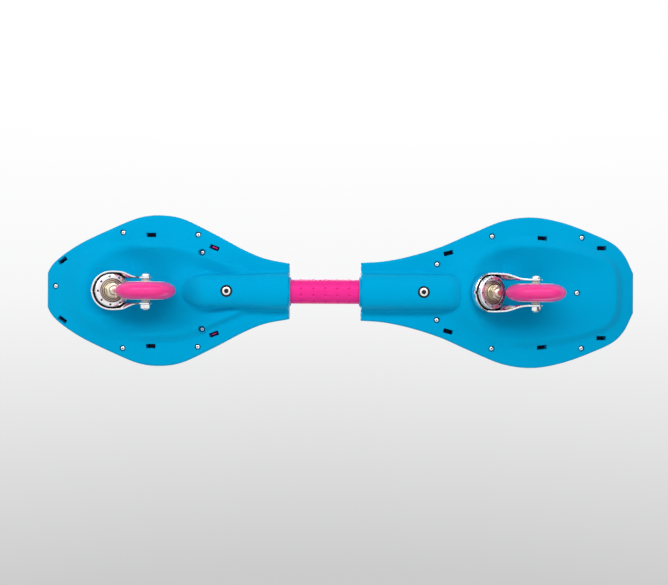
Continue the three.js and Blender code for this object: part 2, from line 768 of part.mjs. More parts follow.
function addTorsionJoint() {
  const { front, rear } = decks;
  const lengthwise = (solid) => placed(solid, [0, 0, tubeAxisHeight], alongX);
  const lengthwiseRing = (innerRadius, outerRadius, start, end) =>
    lengthwise(ring(innerRadius, outerRadius, start, end, fine));

  const sleeveEnds = [fromWaist(rear, sleeveInRear), fromWaist(front, sleeveInFront)];
  addPiece(board, "tube_sleeve", lengthwiseRing(tubeRadius + fit, sleeveRadius, ...sleeveEnds), "sleeve");

  const tubeEnds = [fromWaist(rear, tubeInRear), fromWaist(front, tubeInFront)];
  const tube = lengthwiseRing(tubeRadius - tubeWall, tubeRadius, ...tubeEnds);
  addPiece(board, "torsion_tube", cut(tube, tubeBoltCutters(front)), "steel");

  const bushEnds = [fromWaist(rear, rearBushEnd), fromWaist(rear, rearBushStart)];
  addPiece(board, "rear_tube_bush", lengthwiseRing(tubeRadius + fit, sleeveRadius, ...bushEnds), "nylon");

  const plugEnds = (deck) => {
    const at = fromWaist(deck, tubeBoltReach(deck));
    return [at - plugLength(deck) / 2, at + plugLength(deck) / 2];
  };
  const barEnds = [plugEnds(rear)[0] + barEndGap, plugEnds(front)[1] - barEndGap];
  const squareBar = (start, end, half) =>
    box([start, end], [-half, half], [tubeAxisHeight - half, tubeAxisHeight + half]);
  const barHole = squareBar(barEnds[0] - cutOverrun, barEnds[1] + cutOverrun, barSide / 2 + fit);
  const plug = (deck, radius) =>
    cut(lengthwise(cylinder(radius, ...plugEnds(deck), fine)), [barHole, ...tubeBoltCutters(deck)]);
  addPiece(board, "front_bar_plug", plug(front, tubeRadius - tubeWall - fit), "zinc");
  addPiece(board, "rear_bar_plug", plug(rear, tubeRadius), "zinc");
  addPiece(board, "torsion_bar", squareBar(...barEnds, barSide / 2), "steel");
}

// The fork is a formed strap that wraps the front of the crown and runs back into two cheeks.
const bendStartShare = 0.2; // of the crown's radius
const bendHandleShare = 0.45; // of the bend's length
const forkFacets = 5;

// The strap seen along the swivel axis, out to a radius and a half gap.
function strapShape(radius, halfGap) {
  const back = -forkOffset - cheekEndRadius - cutOverrun;
  const bendStart = -radius * bendStartShare;
  const bendEnd = cheekEndRadius - forkOffset;
  const handle = (bendStart - bendEnd) * bendHandleShare;
  const bendY = Math.sqrt(radius * radius - bendStart * bendStart);
  const startAngle = Math.atan2(bendY, bendStart);
  const shape = new THREE.Shape();
  shape.moveTo(back, -halfGap);
  shape.lineTo(bendEnd, -halfGap);
  shape.bezierCurveTo(bendEnd + handle, -halfGap, bendStart - handle, -bendY, bendStart, -bendY);
  shape.absarc(0, 0, radius, -startAngle, startAngle, false);
  shape.bezierCurveTo(bendStart - handle, bendY, bendEnd + handle, halfGap, bendEnd, halfGap);
  shape.lineTo(back, halfGap);
  shape.closePath();
  return shape;
}

// The fork seen from the side, in shares of the crown's radius and of the drop to the axle: the cup's skirt
// in front, then the cheeks down to their round ends.
const crownBackShare = 0.84;
const backEdgeShares = [1.2, 0.45];
const frontEdgeShares = [0.45, 0.55];
const skirtEndShare = 0.16;
const cheekEndTurnShare = 1.85; // of half a turn, where the round end stops

function sideShape() {
  const front = crownRadius + fit;
  const skirtEdge = -crownTop - cupDepth;
  const [backX, backZ] = backEdgeShares;
  const [frontX, frontZ] = frontEdgeShares;
  const shape = new THREE.Shape();
  shape.moveTo(front, -crownTop);
  shape.lineTo(-crownRadius * crownBackShare, -crownTop);
  shape.quadraticCurveTo(-crownRadius * backX, -forkDrop * backZ, -forkOffset - cheekEndRadius, -forkDrop);
  shape.absarc(-forkOffset, -forkDrop, cheekEndRadius, Math.PI, Math.PI * cheekEndTurnShare, false);
  shape.quadraticCurveTo(-crownRadius * frontX, -forkDrop * frontZ, crownRadius * skirtEndShare, skirtEdge);
  shape.lineTo(front, skirtEdge);
  shape.closePath();
  return shape;
}

function extruded(shape, depth) {
  return solidOf(new THREE.ExtrudeGeometry(shape, { depth, bevelEnabled: false, curveSegments: forkFacets }));
}

function forkSolid() {
  const height = forkDrop + cheekEndRadius + cutOverrun;
  const outer = extruded(strapShape(crownRadius, cheekHalfGap + forkSheet), height);
  const inner = extruded(strapShape(crownRadius - forkSheet, cheekHalfGap), height);
  const wall = placed(outer.subtract(inner), [0, 0, -height]);
  const width = (crownRadius + fit) * 2;
  const side = placed(extruded(sideShape(), width), [0, width / 2, 0], [Math.PI / 2, 0, 0]);
  const crown = ring(crownHoleRadius, crownRadius - forkSheet / 2, -crownUnderside, -crownTop, fine);
  const axleHole = placed(cylinder(bushBore, -width, width, medium), [-forkOffset, 0, -forkDrop], alongY);
  return joined([wall.intersect(side), crown]).subtract(axleHole);
}

function addSwivel(name, group) {
  const neckEnd = bearingTop - fit;
  const flangeUnderside = fit + seatFlangeHeight;
  const seatProfile = [
    [kingpinRadius + fit, -fit], [seatFlangeRadius, -fit], [seatFlangeRadius, -flangeUnderside],
    [seatNeckRadius, -flangeUnderside], [seatNeckRadius, -neckEnd], [kingpinRadius + fit, -neckEnd],
  ];
  addPiece(group, `${name}_swivel_seat`, turned(seatProfile, medium), "steel");

  const housing = ring(housingInnerRadius, housingOuterRadius, -housingFace, -crownUnderside - fit, fine);
  addPiece(group, `${name}_bearing_housing`, housing, "chrome");
  const bearing = ring(kingpinRadius + fit, bearingRadius, -bearingFace, -bearingTop, fine);
  addPiece(group, `${name}_swivel_bearing`, bearing, "steel");
  const washer = ring(kingpinRadius + fit, washerRadius, -washerTop - washerHeight, -washerTop, medium);
  addPiece(group, `${name}_kingpin_washer`, washer, "zinc");

  const nut = hexPrism(kingpinNutRadius, -nutTop - kingpinNutHeight, -nutTop);
  const thread = cylinder(kingpinRadius + fit, -kingpinEnd, 0, medium);
  addPiece(group, `${name}_kingpin_nut`, nut.subtract(thread), "zinc");
  const shankProfile = [
    [0, kingpinHeadSeat], [kingpinRadius, kingpinHeadSeat], [kingpinRadius, kingpinEndRounding - kingpinEnd],
    [kingpinRadius - kingpinEndRounding, -kingpinEnd], [0, -kingpinEnd],
  ];
  const head = hexPrism(kingpinHeadRadius, kingpinHeadSeat, kingpinHeadSeat + kingpinHeadHeight);
  addPiece(group, `${name}_kingpin_bolt`, turned(shankProfile, medium).add(head), "zinc");
}

// The tyre's section: straight shoulders, then an elliptical tread.
function tyreSolid() {
  const half = wheelWidth / 2;
  const inner = hubRadius + fit / 2;
  const shoulder = inner + tyreShoulder;
  const treadSteps = 6;
  const tread = Array.from({ length: treadSteps + 1 }, (_, i) => {
    const angle = (i / treadSteps) * Math.PI;
    return [shoulder + (wheelRadius - shoulder) * Math.sin(angle), half * Math.cos(angle)];
  });
  return turned([[inner, half], ...tread, [inner, -half]], fine);
}

// The hub's section: a bearing seat in each face, a web, and a rim that carries the tyre.
function hubSolid() {
  const half = wheelWidth / 2;
  const bore = bushBore + spacerWall + hubBoreGap;
  const seatFloor = half - wheelBearingWidth;
  const boss = bearingSeatRadius + hubRing;
  const web = hubWebWidth / 2;
  const profile = [
    [bore, -seatFloor], [bearingSeatRadius, -seatFloor], [bearingSeatRadius, -half], [boss, -half],
    [boss, -web], [hubRadius - hubRim, -web], [hubRadius - hubRim, -half], [hubRadius, -half],
    [hubRadius, half], [hubRadius - hubRim, half], [hubRadius - hubRim, web], [boss, web],
    [boss, half], [bearingSeatRadius, half], [bearingSeatRadius, seatFloor], [bore, seatFloor],
  ];
  return turned(profile, fine);
}

function addWheel(name, group) {
  const wheel = new THREE.Group();
  wheel.position.set(-forkOffset, 0, -forkDrop);
  wheel.rotation.set(...alongY);
  group.add(wheel);
  addPiece(wheel, `${name}_tyre`, tyreSolid(), "tyre");
  addPiece(wheel, `${name}_hub`, hubSolid(), "hub");

  const bearingOuter = wheelWidth / 2 + fit;
  const bearingInner = bearingOuter - wheelBearingWidth;
  const flangeInner = bearingOuter + fit;
  const flangeOuter = cheekHalfGap - fit;
  const flangeRadius = wheelBearingBore + bushFlange;
  for (const [sideName, side] of [["left", 1], ["right", -1]]) {
    const bearingEnds = between(bearingInner * side, bearingOuter * side);
    const bearing = ring(wheelBearingBore, wheelBearingRadius, ...bearingEnds, medium);
    addPiece(wheel, `${name}_wheel_bearing_${sideName}`, bearing, "steel");
    const bushProfile = [
      [bushBore, bearingInner], [bushSleeveRadius, bearingInner], [bushSleeveRadius, flangeInner],
      [flangeRadius, flangeInner], [flangeRadius, flangeOuter], [bushBore, flangeOuter],
    ];
    const bush = turned(bushProfile.map(([radius, place]) => [radius, place * side]), coarse);
    addPiece(wheel, `${name}_axle_bush_${sideName}`, bush, "zinc");
  }
  const spacerHalf = bearingInner - fit;
  const spacer = ring(bushBore, bushBore + spacerWall, -spacerHalf, spacerHalf, medium);
  addPiece(wheel, `${name}_bearing_spacer`, spacer, "steel");
  addAxle(name, wheel);
}

const axleHeadShoulderShare = 0.35;
const axleHeadFaceShare = 0.65;

function addAxle(name, wheel) {
  const cheekFace = cheekHalfGap + forkSheet + fit;
  const headEnd = cheekFace + axleHeadHeight;
  const nutEnd = cheekFace + axleNutHeight;
  const threadEnd = -nutEnd - axleThreadEnd;
  const profile = [
    [0, headEnd], [axleHeadRadius * axleHeadFaceShare, headEnd],
    [axleHeadRadius, cheekFace + axleHeadHeight * axleHeadShoulderShare], [axleHeadRadius, cheekFace],
    [axleRadius, cheekFace], [axleRadius, threadEnd], [0, threadEnd],
  ];
  const key = hexPrism(axleKeyRadius, headEnd - axleKeyDepth, headEnd + axleKeyDepth);
  addPiece(wheel, `${name}_axle_bolt`, turned(profile, medium).subtract(key), "zinc");
  const nut = hexPrism(axleNutRadius, -nutEnd, -cheekFace);
  const thread = cylinder(bushBore, threadEnd, 0, medium);
  addPiece(wheel, `${name}_axle_nut`, nut.subtract(thread), "zinc");
}

function addCaster(name, deck) {
  const group = new THREE.Group();
  group.position.set(...padPlace(deck));
  group.rotation.set(...swivelTurn);
  board.add(group);
  addSwivel(name, group);
  addPiece(group, `${name}_fork`, forkSolid(), "chrome");
  addWheel(name, group);
}

for (const [name, deck] of Object.entries(decks)) {
  addDeck(name, deck);
  addCaster(name, deck);
}
addTorsionJoint();

export default board;
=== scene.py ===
"""A caster board seen from below: the looks of each piece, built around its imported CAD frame."""

import logging
import math
from collections.abc import Iterator, Sequence
from contextlib import contextmanager
from dataclasses import dataclass
from enum import Enum

import bpy
import numpy as np
from mathutils import Matrix, Vector


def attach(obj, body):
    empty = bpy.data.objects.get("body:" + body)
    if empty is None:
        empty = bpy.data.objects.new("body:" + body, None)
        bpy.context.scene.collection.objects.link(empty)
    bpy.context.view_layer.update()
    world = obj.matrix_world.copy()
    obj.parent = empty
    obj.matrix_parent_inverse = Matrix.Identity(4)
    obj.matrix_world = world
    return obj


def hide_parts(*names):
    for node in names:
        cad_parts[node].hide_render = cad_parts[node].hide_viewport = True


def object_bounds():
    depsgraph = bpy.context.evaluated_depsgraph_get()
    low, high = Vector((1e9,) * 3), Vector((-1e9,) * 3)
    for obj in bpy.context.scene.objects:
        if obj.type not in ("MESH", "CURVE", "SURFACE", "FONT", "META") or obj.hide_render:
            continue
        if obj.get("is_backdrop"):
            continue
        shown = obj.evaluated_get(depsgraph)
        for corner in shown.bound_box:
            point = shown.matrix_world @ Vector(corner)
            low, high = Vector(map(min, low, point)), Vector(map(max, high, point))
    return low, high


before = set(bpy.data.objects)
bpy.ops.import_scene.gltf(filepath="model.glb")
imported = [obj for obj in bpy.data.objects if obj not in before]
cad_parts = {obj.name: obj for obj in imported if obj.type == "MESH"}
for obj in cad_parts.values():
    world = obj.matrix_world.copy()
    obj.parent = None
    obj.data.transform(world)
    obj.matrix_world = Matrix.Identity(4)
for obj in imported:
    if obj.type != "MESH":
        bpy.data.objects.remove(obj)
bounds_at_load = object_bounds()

log = logging.getLogger("caster_board")

Profile = Sequence[tuple[float, float]]
Colour = tuple[int, int, int]

METRES = 0.001  # one millimetre, the unit that pieces are modelled in
QUARTER = math.pi / 2


class Join(Enum):
    """What a boolean does with the second solid."""

    ADD = "UNION"
    CUT = "DIFFERENCE"
    COMMON = "INTERSECT"


class Along(Enum):
    """The world axis that a turned piece's own axis is laid along."""

    X = Matrix.Rotation(QUARTER, 4, "Y")
    Y = Matrix.Rotation(-QUARTER, 4, "X")
    Z = Matrix.Identity(4)


# ---------------------------------------------------------------- modelling


def select_only(*pieces: bpy.types.Object) -> None:
    """Select these pieces and make the first one active."""
    bpy.ops.object.select_all(action="DESELECT")
    for piece in pieces:
        piece.select_set(True)
    bpy.context.view_layer.objects.active = pieces[0]


@contextmanager
def editing(piece: bpy.types.Object) -> Iterator[None]:
    """Edit mode on one piece, with its whole mesh selected."""
    select_only(piece)
    bpy.ops.object.mode_set(mode="EDIT")
    bpy.ops.mesh.select_all(action="SELECT")
    yield
    bpy.ops.object.mode_set(mode="OBJECT")


def reshape(piece: bpy.types.Object, points: Sequence[Sequence[float]]) -> None:
    """Move a mesh's vertices, in order, to these points."""
    piece.data.vertices.foreach_set("co", np.asarray(points, np.float32).ravel())
    piece.data.update()


def close_seams(piece: bpy.types.Object, distance: float = 0.0005) -> None:
    """Merge doubled vertices, drop what has no area and turn the faces outwards."""
    with editing(piece):
        bpy.ops.mesh.remove_doubles(threshold=distance)
        bpy.ops.mesh.dissolve_degenerate(threshold=distance)
        bpy.ops.mesh.select_all(action="SELECT")
        bpy.ops.mesh.delete_loose()
        bpy.ops.mesh.select_all(action="SELECT")
        bpy.ops.mesh.normals_make_consistent(inside=False)


def apply_modifier(piece: bpy.types.Object, kind: str, **settings: object) -> None:
    """Add a modifier and apply it."""
    modifier = piece.modifiers.new(kind.title(), kind)
    for key, value in settings.items():
        setattr(modifier, key, value)
    select_only(piece)
    bpy.ops.object.modifier_apply(modifier=modifier.name)


def combine(piece: bpy.types.Object, how: Join, other: bpy.types.Object) -> bpy.types.Object:
    """Join or cut a solid with another one, which is used up."""
    apply_modifier(piece, "BOOLEAN", object=other, operation=how.value, solver="EXACT")
    bpy.data.objects.remove(other)
    return piece


def gathered(pieces: Sequence[bpy.types.Object]) -> bpy.types.Object:
    """Several solids that don't touch, as one object."""
    select_only(*pieces)
    if len(pieces) > 1:
        bpy.ops.object.join()
    return pieces[0]


def bevelled(piece: bpy.types.Object, width: float, segments: int = 2, degrees: float = 35) -> bpy.types.Object:
    """Round every edge that is sharper than an angle."""
    apply_modifier(
        piece, "BEVEL", width=width, segments=segments, limit_method="ANGLE", angle_limit=math.radians(degrees)
    )
    return piece


def moved(piece: bpy.types.Object, *matrices: Matrix) -> bpy.types.Object:
    """Turn and move a mesh by these matrices, the last one first."""
    total = Matrix.Identity(4)
    for matrix in matrices:
        total = total @ matrix
    piece.data.transform(total)
    return piece


def shift(x: float = 0, y: float = 0, z: float = 0) -> Matrix:
    """A move in millimetres."""
    return Matrix.Translation((x, y, z))


def turned(name: str, profile: Profile, steps: int = 64) -> bpy.types.Object:
    """A solid spun about Z from a closed profile.

    Args:
        name: the piece's name.
        profile: [radius, height] points; an edge on the axis leaves no face.
        steps: sides of the round.
    Returns:
        The closed solid.
    """
    bpy.ops.mesh.primitive_circle_add(vertices=len(profile), radius=1)
    piece = bpy.context.active_object
    piece.name = name
    reshape(piece, [(radius, 0, height) for radius, height in profile])
    with editing(piece):
        bpy.ops.mesh.spin(steps=steps, angle=math.tau, center=(0, 0, 0), axis=(0, 0, 1))
    close_seams(piece)
    return piece


def pipe(name: str, inner: float, outer: float, low: float, high: float, edge: float = 0, steps: int = 64) -> bpy.types.Object:
    """A ring or, with no inner radius, a disc about Z, with its edges broken."""
    piece = turned(name, [(inner, low), (outer, low), (outer, high), (inner, high)], steps)
    return bevelled(piece, edge, 2, 50) if edge else piece


def prism(name: str, outline: Profile, low: float, high: float) -> bpy.types.Object:
    """A solid extruded along Z from an outline."""
    bpy.ops.mesh.primitive_circle_add(vertices=len(outline), fill_type="NGON")
    piece = bpy.context.active_object
    piece.name = name
    reshape(piece, [(x, y, low) for x, y in outline])
    with editing(piece):
        bpy.ops.mesh.extrude_region_move(TRANSFORM_OT_translate={"value": (0, 0, high - low)})
    close_seams(piece)
    return piece


def block(name: str, size: Sequence[float], middle: Sequence[float] = (0, 0, 0)) -> bpy.types.Object:
    """A box of this size about its middle."""
    bpy.ops.mesh.primitive_cube_add(size=1)
    piece = bpy.context.active_object
    piece.name = name
    return moved(piece, Matrix.Translation(middle), Matrix.Diagonal((*size, 1)))


def hexagon(name: str, corner: float, low: float, high: float) -> bpy.types.Object:
    """A six-sided prism about Z with a corner along X."""
    outline = [(corner * math.cos(i * math.tau / 6), corner * math.sin(i * math.tau / 6)) for i in range(6)]
    return prism(name, outline, low, high)


def lofted(name: str, rings: np.ndarray) -> bpy.types.Object:
    """A skin over rings of points; rings that shrink to a point close it.

    Args:
        name: the piece's name.
        rings: coordinates of shape (rings, points in a ring, 3).
    Returns:
        The closed solid.
    """
    count, around = rings.shape[:2]
    bpy.ops.mesh.primitive_grid_add(x_subdivisions=around, y_subdivisions=count - 1, size=1)
    piece = bpy.context.active_object
    piece.name = name
    reshape(piece, np.concatenate([rings, rings[:, :1]], axis=1).reshape(-1, 3))
    close_seams(piece)
    return piece


def smoothstep(share: float | np.ndarray) -> float | np.ndarray:
    """An ease from 0 to 1."""
    share = np.clip(share, 0, 1)
    return share * share * (3 - 2 * share)


def arc(middle: tuple[float, float], radius: float, start: float, end: float, steps: int) -> list[tuple[float, float]]:
    """Points on an arc, angles in degrees."""
    angles = np.radians(np.linspace(start, end, steps + 1))
    return [(middle[0] + radius * math.cos(a), middle[1] + radius * math.sin(a)) for a in angles]


def bezier(start: Sequence[float], first: Sequence[float], second: Sequence[float], end: Sequence[float], steps: int = 16) -> list[tuple[float, float]]:
    """Points on a cubic curve after its start."""
    t = np.linspace(0, 1, steps + 1)[1:, None]
    a, b, c, d = (np.array(p, float) for p in (start, first, second, end))
    points = a * (1 - t) ** 3 + 3 * b * t * (1 - t) ** 2 + 3 * c * t * t * (1 - t) + d * t**3
    return [tuple(p) for p in points.tolist()]


# ---------------------------------------------------------------- finishes


def linear(colour: Colour) -> tuple[float, float, float, float]:
    """An 8-bit screen colour as scene-linear RGBA."""
    values = [c / 255 for c in colour]
    return (*[v / 12.92 if v <= 0.04045 else ((v + 0.055) / 1.055) ** 2.4 for v in values], 1)


class Surface:
    """A material under construction, over one Principled shader in object coordinates."""

    def __init__(self, name: str) -> None:
        """Start a material with this name."""
        self.material = bpy.data.materials.new(name)
        self.material.use_nodes = True
        self.tree = self.material.node_tree
        self.shader = self.tree.nodes["Principled BSDF"]
        self.place = self.node("ShaderNodeTexCoord").outputs["Object"]

    def node(self, kind: str, inputs: dict[str, object] | None = None, **settings: object) -> bpy.types.Node:
        """Add a node; an input takes a value or another node's socket."""
        node = self.tree.nodes.new(kind)
        for key, value in settings.items():
            setattr(node, key, value)
        for key, value in (inputs or {}).items():
            self.feed(node.inputs[key], value)
        return node

    def feed(self, socket: bpy.types.NodeSocket, value: object) -> None:
        """Link or set one input."""
        if isinstance(value, bpy.types.NodeSocket):
            self.tree.links.new(value, socket)
        else:
            socket.default_value = value

    def set(self, **inputs: object) -> None:
        """Feed inputs of the shader, named with underscores for spaces."""
        for key, value in inputs.items():
            self.feed(self.shader.inputs[key.replace("_", " ")], value)

    def noise(self, size: float, detail: float = 2, stretch: Sequence[float] = (1, 1, 1)) -> bpy.types.NodeSocket:
        """Noise from 0 to 1 with features of about this many millimetres."""
        place = self.node("ShaderNodeMapping", {"Vector": self.place, "Scale": tuple(stretch)}).outputs["Vector"]
        return self.node("ShaderNodeTexNoise", {"Vector": place, "Scale": 1 / (size * METRES), "Detail": detail}).outputs["Fac"]

    def between(self, factor: bpy.types.NodeSocket, low: float, high: float, start: float = 0.3, end: float = 0.7) -> bpy.types.NodeSocket:
        """A value that goes from low to high as the factor goes from start to end."""
        inputs = {"Value": factor, "From Min": start, "From Max": end, "To Min": low, "To Max": high}
        return self.node("ShaderNodeMapRange", inputs).outputs["Result"]

    def colours(self, factor: bpy.types.NodeSocket, first: object, second: object) -> bpy.types.NodeSocket:
        """A mix of two colours."""
        mix = self.node("ShaderNodeMix", data_type="RGBA")
        self.feed(mix.inputs[0], factor)
        self.feed(mix.inputs[6], first)
        self.feed(mix.inputs[7], second)
        return mix.outputs[2]

    def scratches(self, length: float, share: float) -> bpy.types.NodeSocket:
        """Fine straight scratches over about this share of the surface, as 0 or 1."""
        inputs = {"Vector": self.node("ShaderNodeMapping", {"Vector": self.place, "Scale": (1, 0.12, 0.4), "Rotation": (0.2, 0.3, 0.7)}).outputs[0],
                  "Scale": 1 / (length * METRES)}
        cells = self.node("ShaderNodeTexVoronoi", inputs, feature="DISTANCE_TO_EDGE").outputs["Distance"]
        lines = self.between(cells, 1, 0, 0, 0.012)
        patches = self.between(self.noise(length * 2, 1), 0, 1, 1 - share - 0.05, 1 - share + 0.05)
        return self.node("ShaderNodeMath", {0: lines, 1: patches}, operation="MULTIPLY").outputs[0]

    def bump(self, height: bpy.types.NodeSocket, depth: float, under: bpy.types.NodeSocket | None = None) -> bpy.types.NodeSocket:
        """A bump of this many millimetres, on top of another normal if given."""
        inputs = {"Height": height, "Distance": depth * METRES, "Strength": 1.0}
        if under:
            inputs["Normal"] = under
        return self.node("ShaderNodeBump", inputs).outputs["Normal"]

    def soft_edges(self, radius: float) -> bpy.types.NodeSocket:
        """A normal that rounds edges and inner corners by this many millimetres."""
        return self.node("ShaderNodeBevel", {"Radius": radius * METRES}, samples=8).outputs["Normal"]


@dataclass(frozen=True)
class Plastic:
    """Injection-moulded plastic with a fine grain, slight mottling, handling marks and soft edges."""

    name: str
    colour: Colour
    shade: Colour
    roughness: float = 0.42
    gloss: float = 0.5
    grain: float = 0.5  # size of the grain, mm
    grain_depth: float = 0.008
    edge: float = 0.5
    coat: float = 0.0
    tint: Colour = (255, 255, 255)  # of its reflections

    def material(self) -> bpy.types.Material:
        """Build the material."""
        surface = Surface(self.name)
        mottle = surface.between(surface.noise(60, 3), 0, 1)
        marks = surface.scratches(9, 0.3)
        base = surface.colours(mottle, linear(self.colour), linear(self.shade))
        rough = surface.between(surface.noise(9, 4), self.roughness - 0.05, self.roughness + 0.06)
        normal = surface.bump(surface.noise(self.grain, 2), self.grain_depth, surface.soft_edges(self.edge))
        normal = surface.bump(marks, -0.003, normal)
        surface.set(Base_Color=base, Roughness=rough, Specular_IOR_Level=self.gloss, Specular_Tint=linear(self.tint),
                    Normal=normal, Coat_Weight=self.coat, Coat_Roughness=0.12)
        return surface.material


@dataclass(frozen=True)
class Urethane:
    """Glossy cast urethane that light enters a little, with road dust on the tread."""

    name: str
    colour: Colour
    dust_and_shade: Colour
    tint: Colour = (255, 150, 205)

    def material(self) -> bpy.types.Material:
        """Build the material."""
        surface = Surface(self.name)
        dust_and_shade = surface.between(surface.noise(9, 2), 0.0, 0.12, 0.45, 0.8)
        base = surface.colours(dust_and_shade, linear(self.colour), linear(self.dust_and_shade))
        rough = surface.between(surface.noise(8, 2), 0.16, 0.24)
        normal = surface.bump(surface.noise(7, 1), 0.006)
        surface.set(Base_Color=base, Roughness=rough, Normal=normal, Subsurface_Weight=0.3, Subsurface_Scale=0.005,
                    Specular_IOR_Level=0.15, Specular_Tint=linear(self.tint), Coat_Weight=0.25, Coat_Roughness=0.06)
        return surface.material


@dataclass(frozen=True)
class Metal:
    """Plated or ground steel with fine tool marks, small scratches and dull patches."""

    name: str
    colour: Colour
    roughness: float
    shade: Colour = (120, 118, 116)
    tarnish: float = 0.15
    marks: float = 0.004  # depth of the tool marks, mm

    def material(self) -> bpy.types.Material:
        """Build the material."""
        surface = Surface(self.name)
        patches = surface.between(surface.noise(4, 5), 0, self.tarnish, 0.45, 0.75)
        scratches = surface.scratches(5, 0.5)
        base = surface.colours(patches, linear(self.colour), linear(self.shade))
        rough = surface.between(surface.noise(2, 4), self.roughness * 0.75, self.roughness * 1.4)
        normal = surface.bump(surface.noise(0.35, 3, (1, 1, 8)), self.marks, surface.soft_edges(0.15))
        normal = surface.bump(scratches, -0.006, normal)
        surface.set(Base_Color=base, Roughness=rough, Metallic=1.0, Normal=normal)
        return surface.material


class Finish(Enum):
    """Every finish of the board; its value is the record's slot and what builds it."""

    DECK = ("deck_plastic", Plastic("deck_blue", (0, 157, 205), (0, 154, 202), 0.5, 0.26, edge=1.4, tint=(0, 120, 200)))
    PLATFORM = ("platform_plastic", Plastic("platform_pink", (236, 54, 148), (232, 48, 142), 0.5, 0.4, 0.7, 0.02, tint=(255, 120, 190)))
    SLEEVE = ("sleeve_plastic", Plastic("sleeve_pink", (233, 46, 141), (230, 42, 137), 0.4, 0.4, 0.9, 0.004, 0.2, 0.0, (255, 110, 190)))
    TYRE = ("wheel_urethane", Urethane("wheel_pink", (240, 60, 147), (228, 92, 154)))
    SATIN = ("chrome", Metal("satin_chrome", (246, 244, 246), 0.22, (200, 196, 200), 0.1, 0.0006))
    HUB = ("hub_plastic", Plastic("hub_white", (240, 238, 238), (232, 230, 232), 0.32, 0.5, 0.8, 0.005, 0.3))
    NYLON = ("bush_nylon", Plastic("bush_black", (20, 20, 24), (15, 15, 18), 0.55, 0.25, 0.6))
    # The slot blocks' dark navy is painted shade, standing for the shadow deep in the snap slots.
    SHADE = ("bush_nylon", Plastic("slot_shade_navy", (12, 14, 54), (9, 10, 42), 0.55, 0.2, 0.6))
    CHROME = ("chrome", Metal("chrome_plate", (246, 246, 248), 0.09, (190, 192, 198), 0.1, 0.0006))
    ZINC = ("zinc", Metal("bright_zinc", (250, 250, 250), 0.24, (196, 192, 188), 0.15, 0.0015))
    CREAM = ("zinc", Metal("cream_zinc", (232, 222, 202), 0.34, (176, 160, 134), 0.3, 0.002))
    STEEL = ("steel", Metal("ground_steel", (200, 176, 146), 0.26, (134, 108, 84), 0.4, 0.003))
    # Dark seal colour, also used as painted shade in the gaps between the caster bearing's rings.
    SEAL = ("steel", Plastic("bearing_seal", (44, 28, 28), (34, 22, 22), 0.5, 0.25, 0.4, 0.01, 0.1))

    def material(self) -> bpy.types.Material:
        """The finish's material, built once."""
        builder = self.value[1]
        return bpy.data.materials.get(builder.name) or builder.material()


def fit_piece(piece: bpy.types.Object, finish: Finish, body: str, *nodes: str, degrees: float = 35) -> bpy.types.Object:
    """Finish a piece and hang it on the frame.

    Args:
        piece: the modelled piece, in millimetres in the board's frame.
        finish: what it is made of.
        body: the body that it rides on.
        nodes: the CAD nodes that it stands for.
        degrees: edges sharper than this stay sharp.
    Returns:
        The same piece.
    """
    piece.data.transform(Matrix.Scale(METRES, 4))
    piece.data.materials.clear()
    piece.data.materials.append(finish.material())
    select_only(piece)
    bpy.ops.object.shade_smooth_by_angle(angle=math.radians(degrees))
    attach(piece, body)
    if nodes:
        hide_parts(*nodes)
    log.info("%s: %d faces, %s", piece.name, len(piece.data.polygons), finish.name.lower())
    return piece


def keep_node(name: str, finish: Finish) -> None:
    """Show a CAD node as it is, in a finish."""
    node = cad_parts[name]
    node.data.materials.clear()
    node.data.materials.append(finish.material())
    log.info("%s: kept from the frame, %s", name, finish.name.lower())


# ---------------------------------------------------------------- decks


@dataclass(frozen=True)
class BoardSizes:
    """Sizes that the sub-assemblies share, in millimetres."""

    nose: float = 343.0
    half_width: float = 87.685
    rim: float = 65.9833
    deck_top: float = 87.94
    platform_top: float = 85.9809
    platform_under: float = 82.2809
    tube_axis: float = 65.9809
    socket_radius: float = 18.0
    kick_length: float = 53.0
    kick_rise: float = 7.0
    pad_height: float = 64.3833
    tilt: float = math.radians(30)

    def kick(self, x: float | np.ndarray) -> float | np.ndarray:
        """How far the nose and the tail turn up at a place along the board."""
        past = np.maximum(0, np.abs(x) - (self.nose - self.kick_length)) / self.kick_length
        return self.kick_rise * past * past

    def at_pad(self, pad_x: float) -> Matrix:
        """From a caster's own place, with its axis along Z, to the board."""
        return Matrix.Translation((pad_x, 0, self.pad_height)) @ Matrix.Rotation(self.tilt, 4, "Y")


SIZES = BoardSizes()


@dataclass(frozen=True)
class DeckSizes:
    """One deck's plan. Curves are (share of length from the tip, share of half width)."""

    name: str
    tip: float
    inwards: int
    length: float
    tip_flat: float
    outline: Profile
    foot: Profile
    crest: Profile
    centre: float
    pad_x: float
    socket_end: float
    nose_length: float
    flare_until: float
    bolt_x: float
    bore_steps: tuple[float, float]
    socket_width: float
    mound: float
    saddle: float
    screws: dict[str, tuple[float, float, str]]
    slots: Sequence[tuple[float, float, float]]
    wall: float = 3.2
    skin: float = 3.2
    rim_rounding: float = 2.4
    top_rounding: float = 1.6
    hump: float = 4.8
    foot_spread: float = 2.5
    dish: float = 8.0
    waist_block: float = 16.0

    def x(self, share: float) -> float:
        """A share of the deck's length as a place along the board."""
        return self.tip + self.inwards * share * self.length


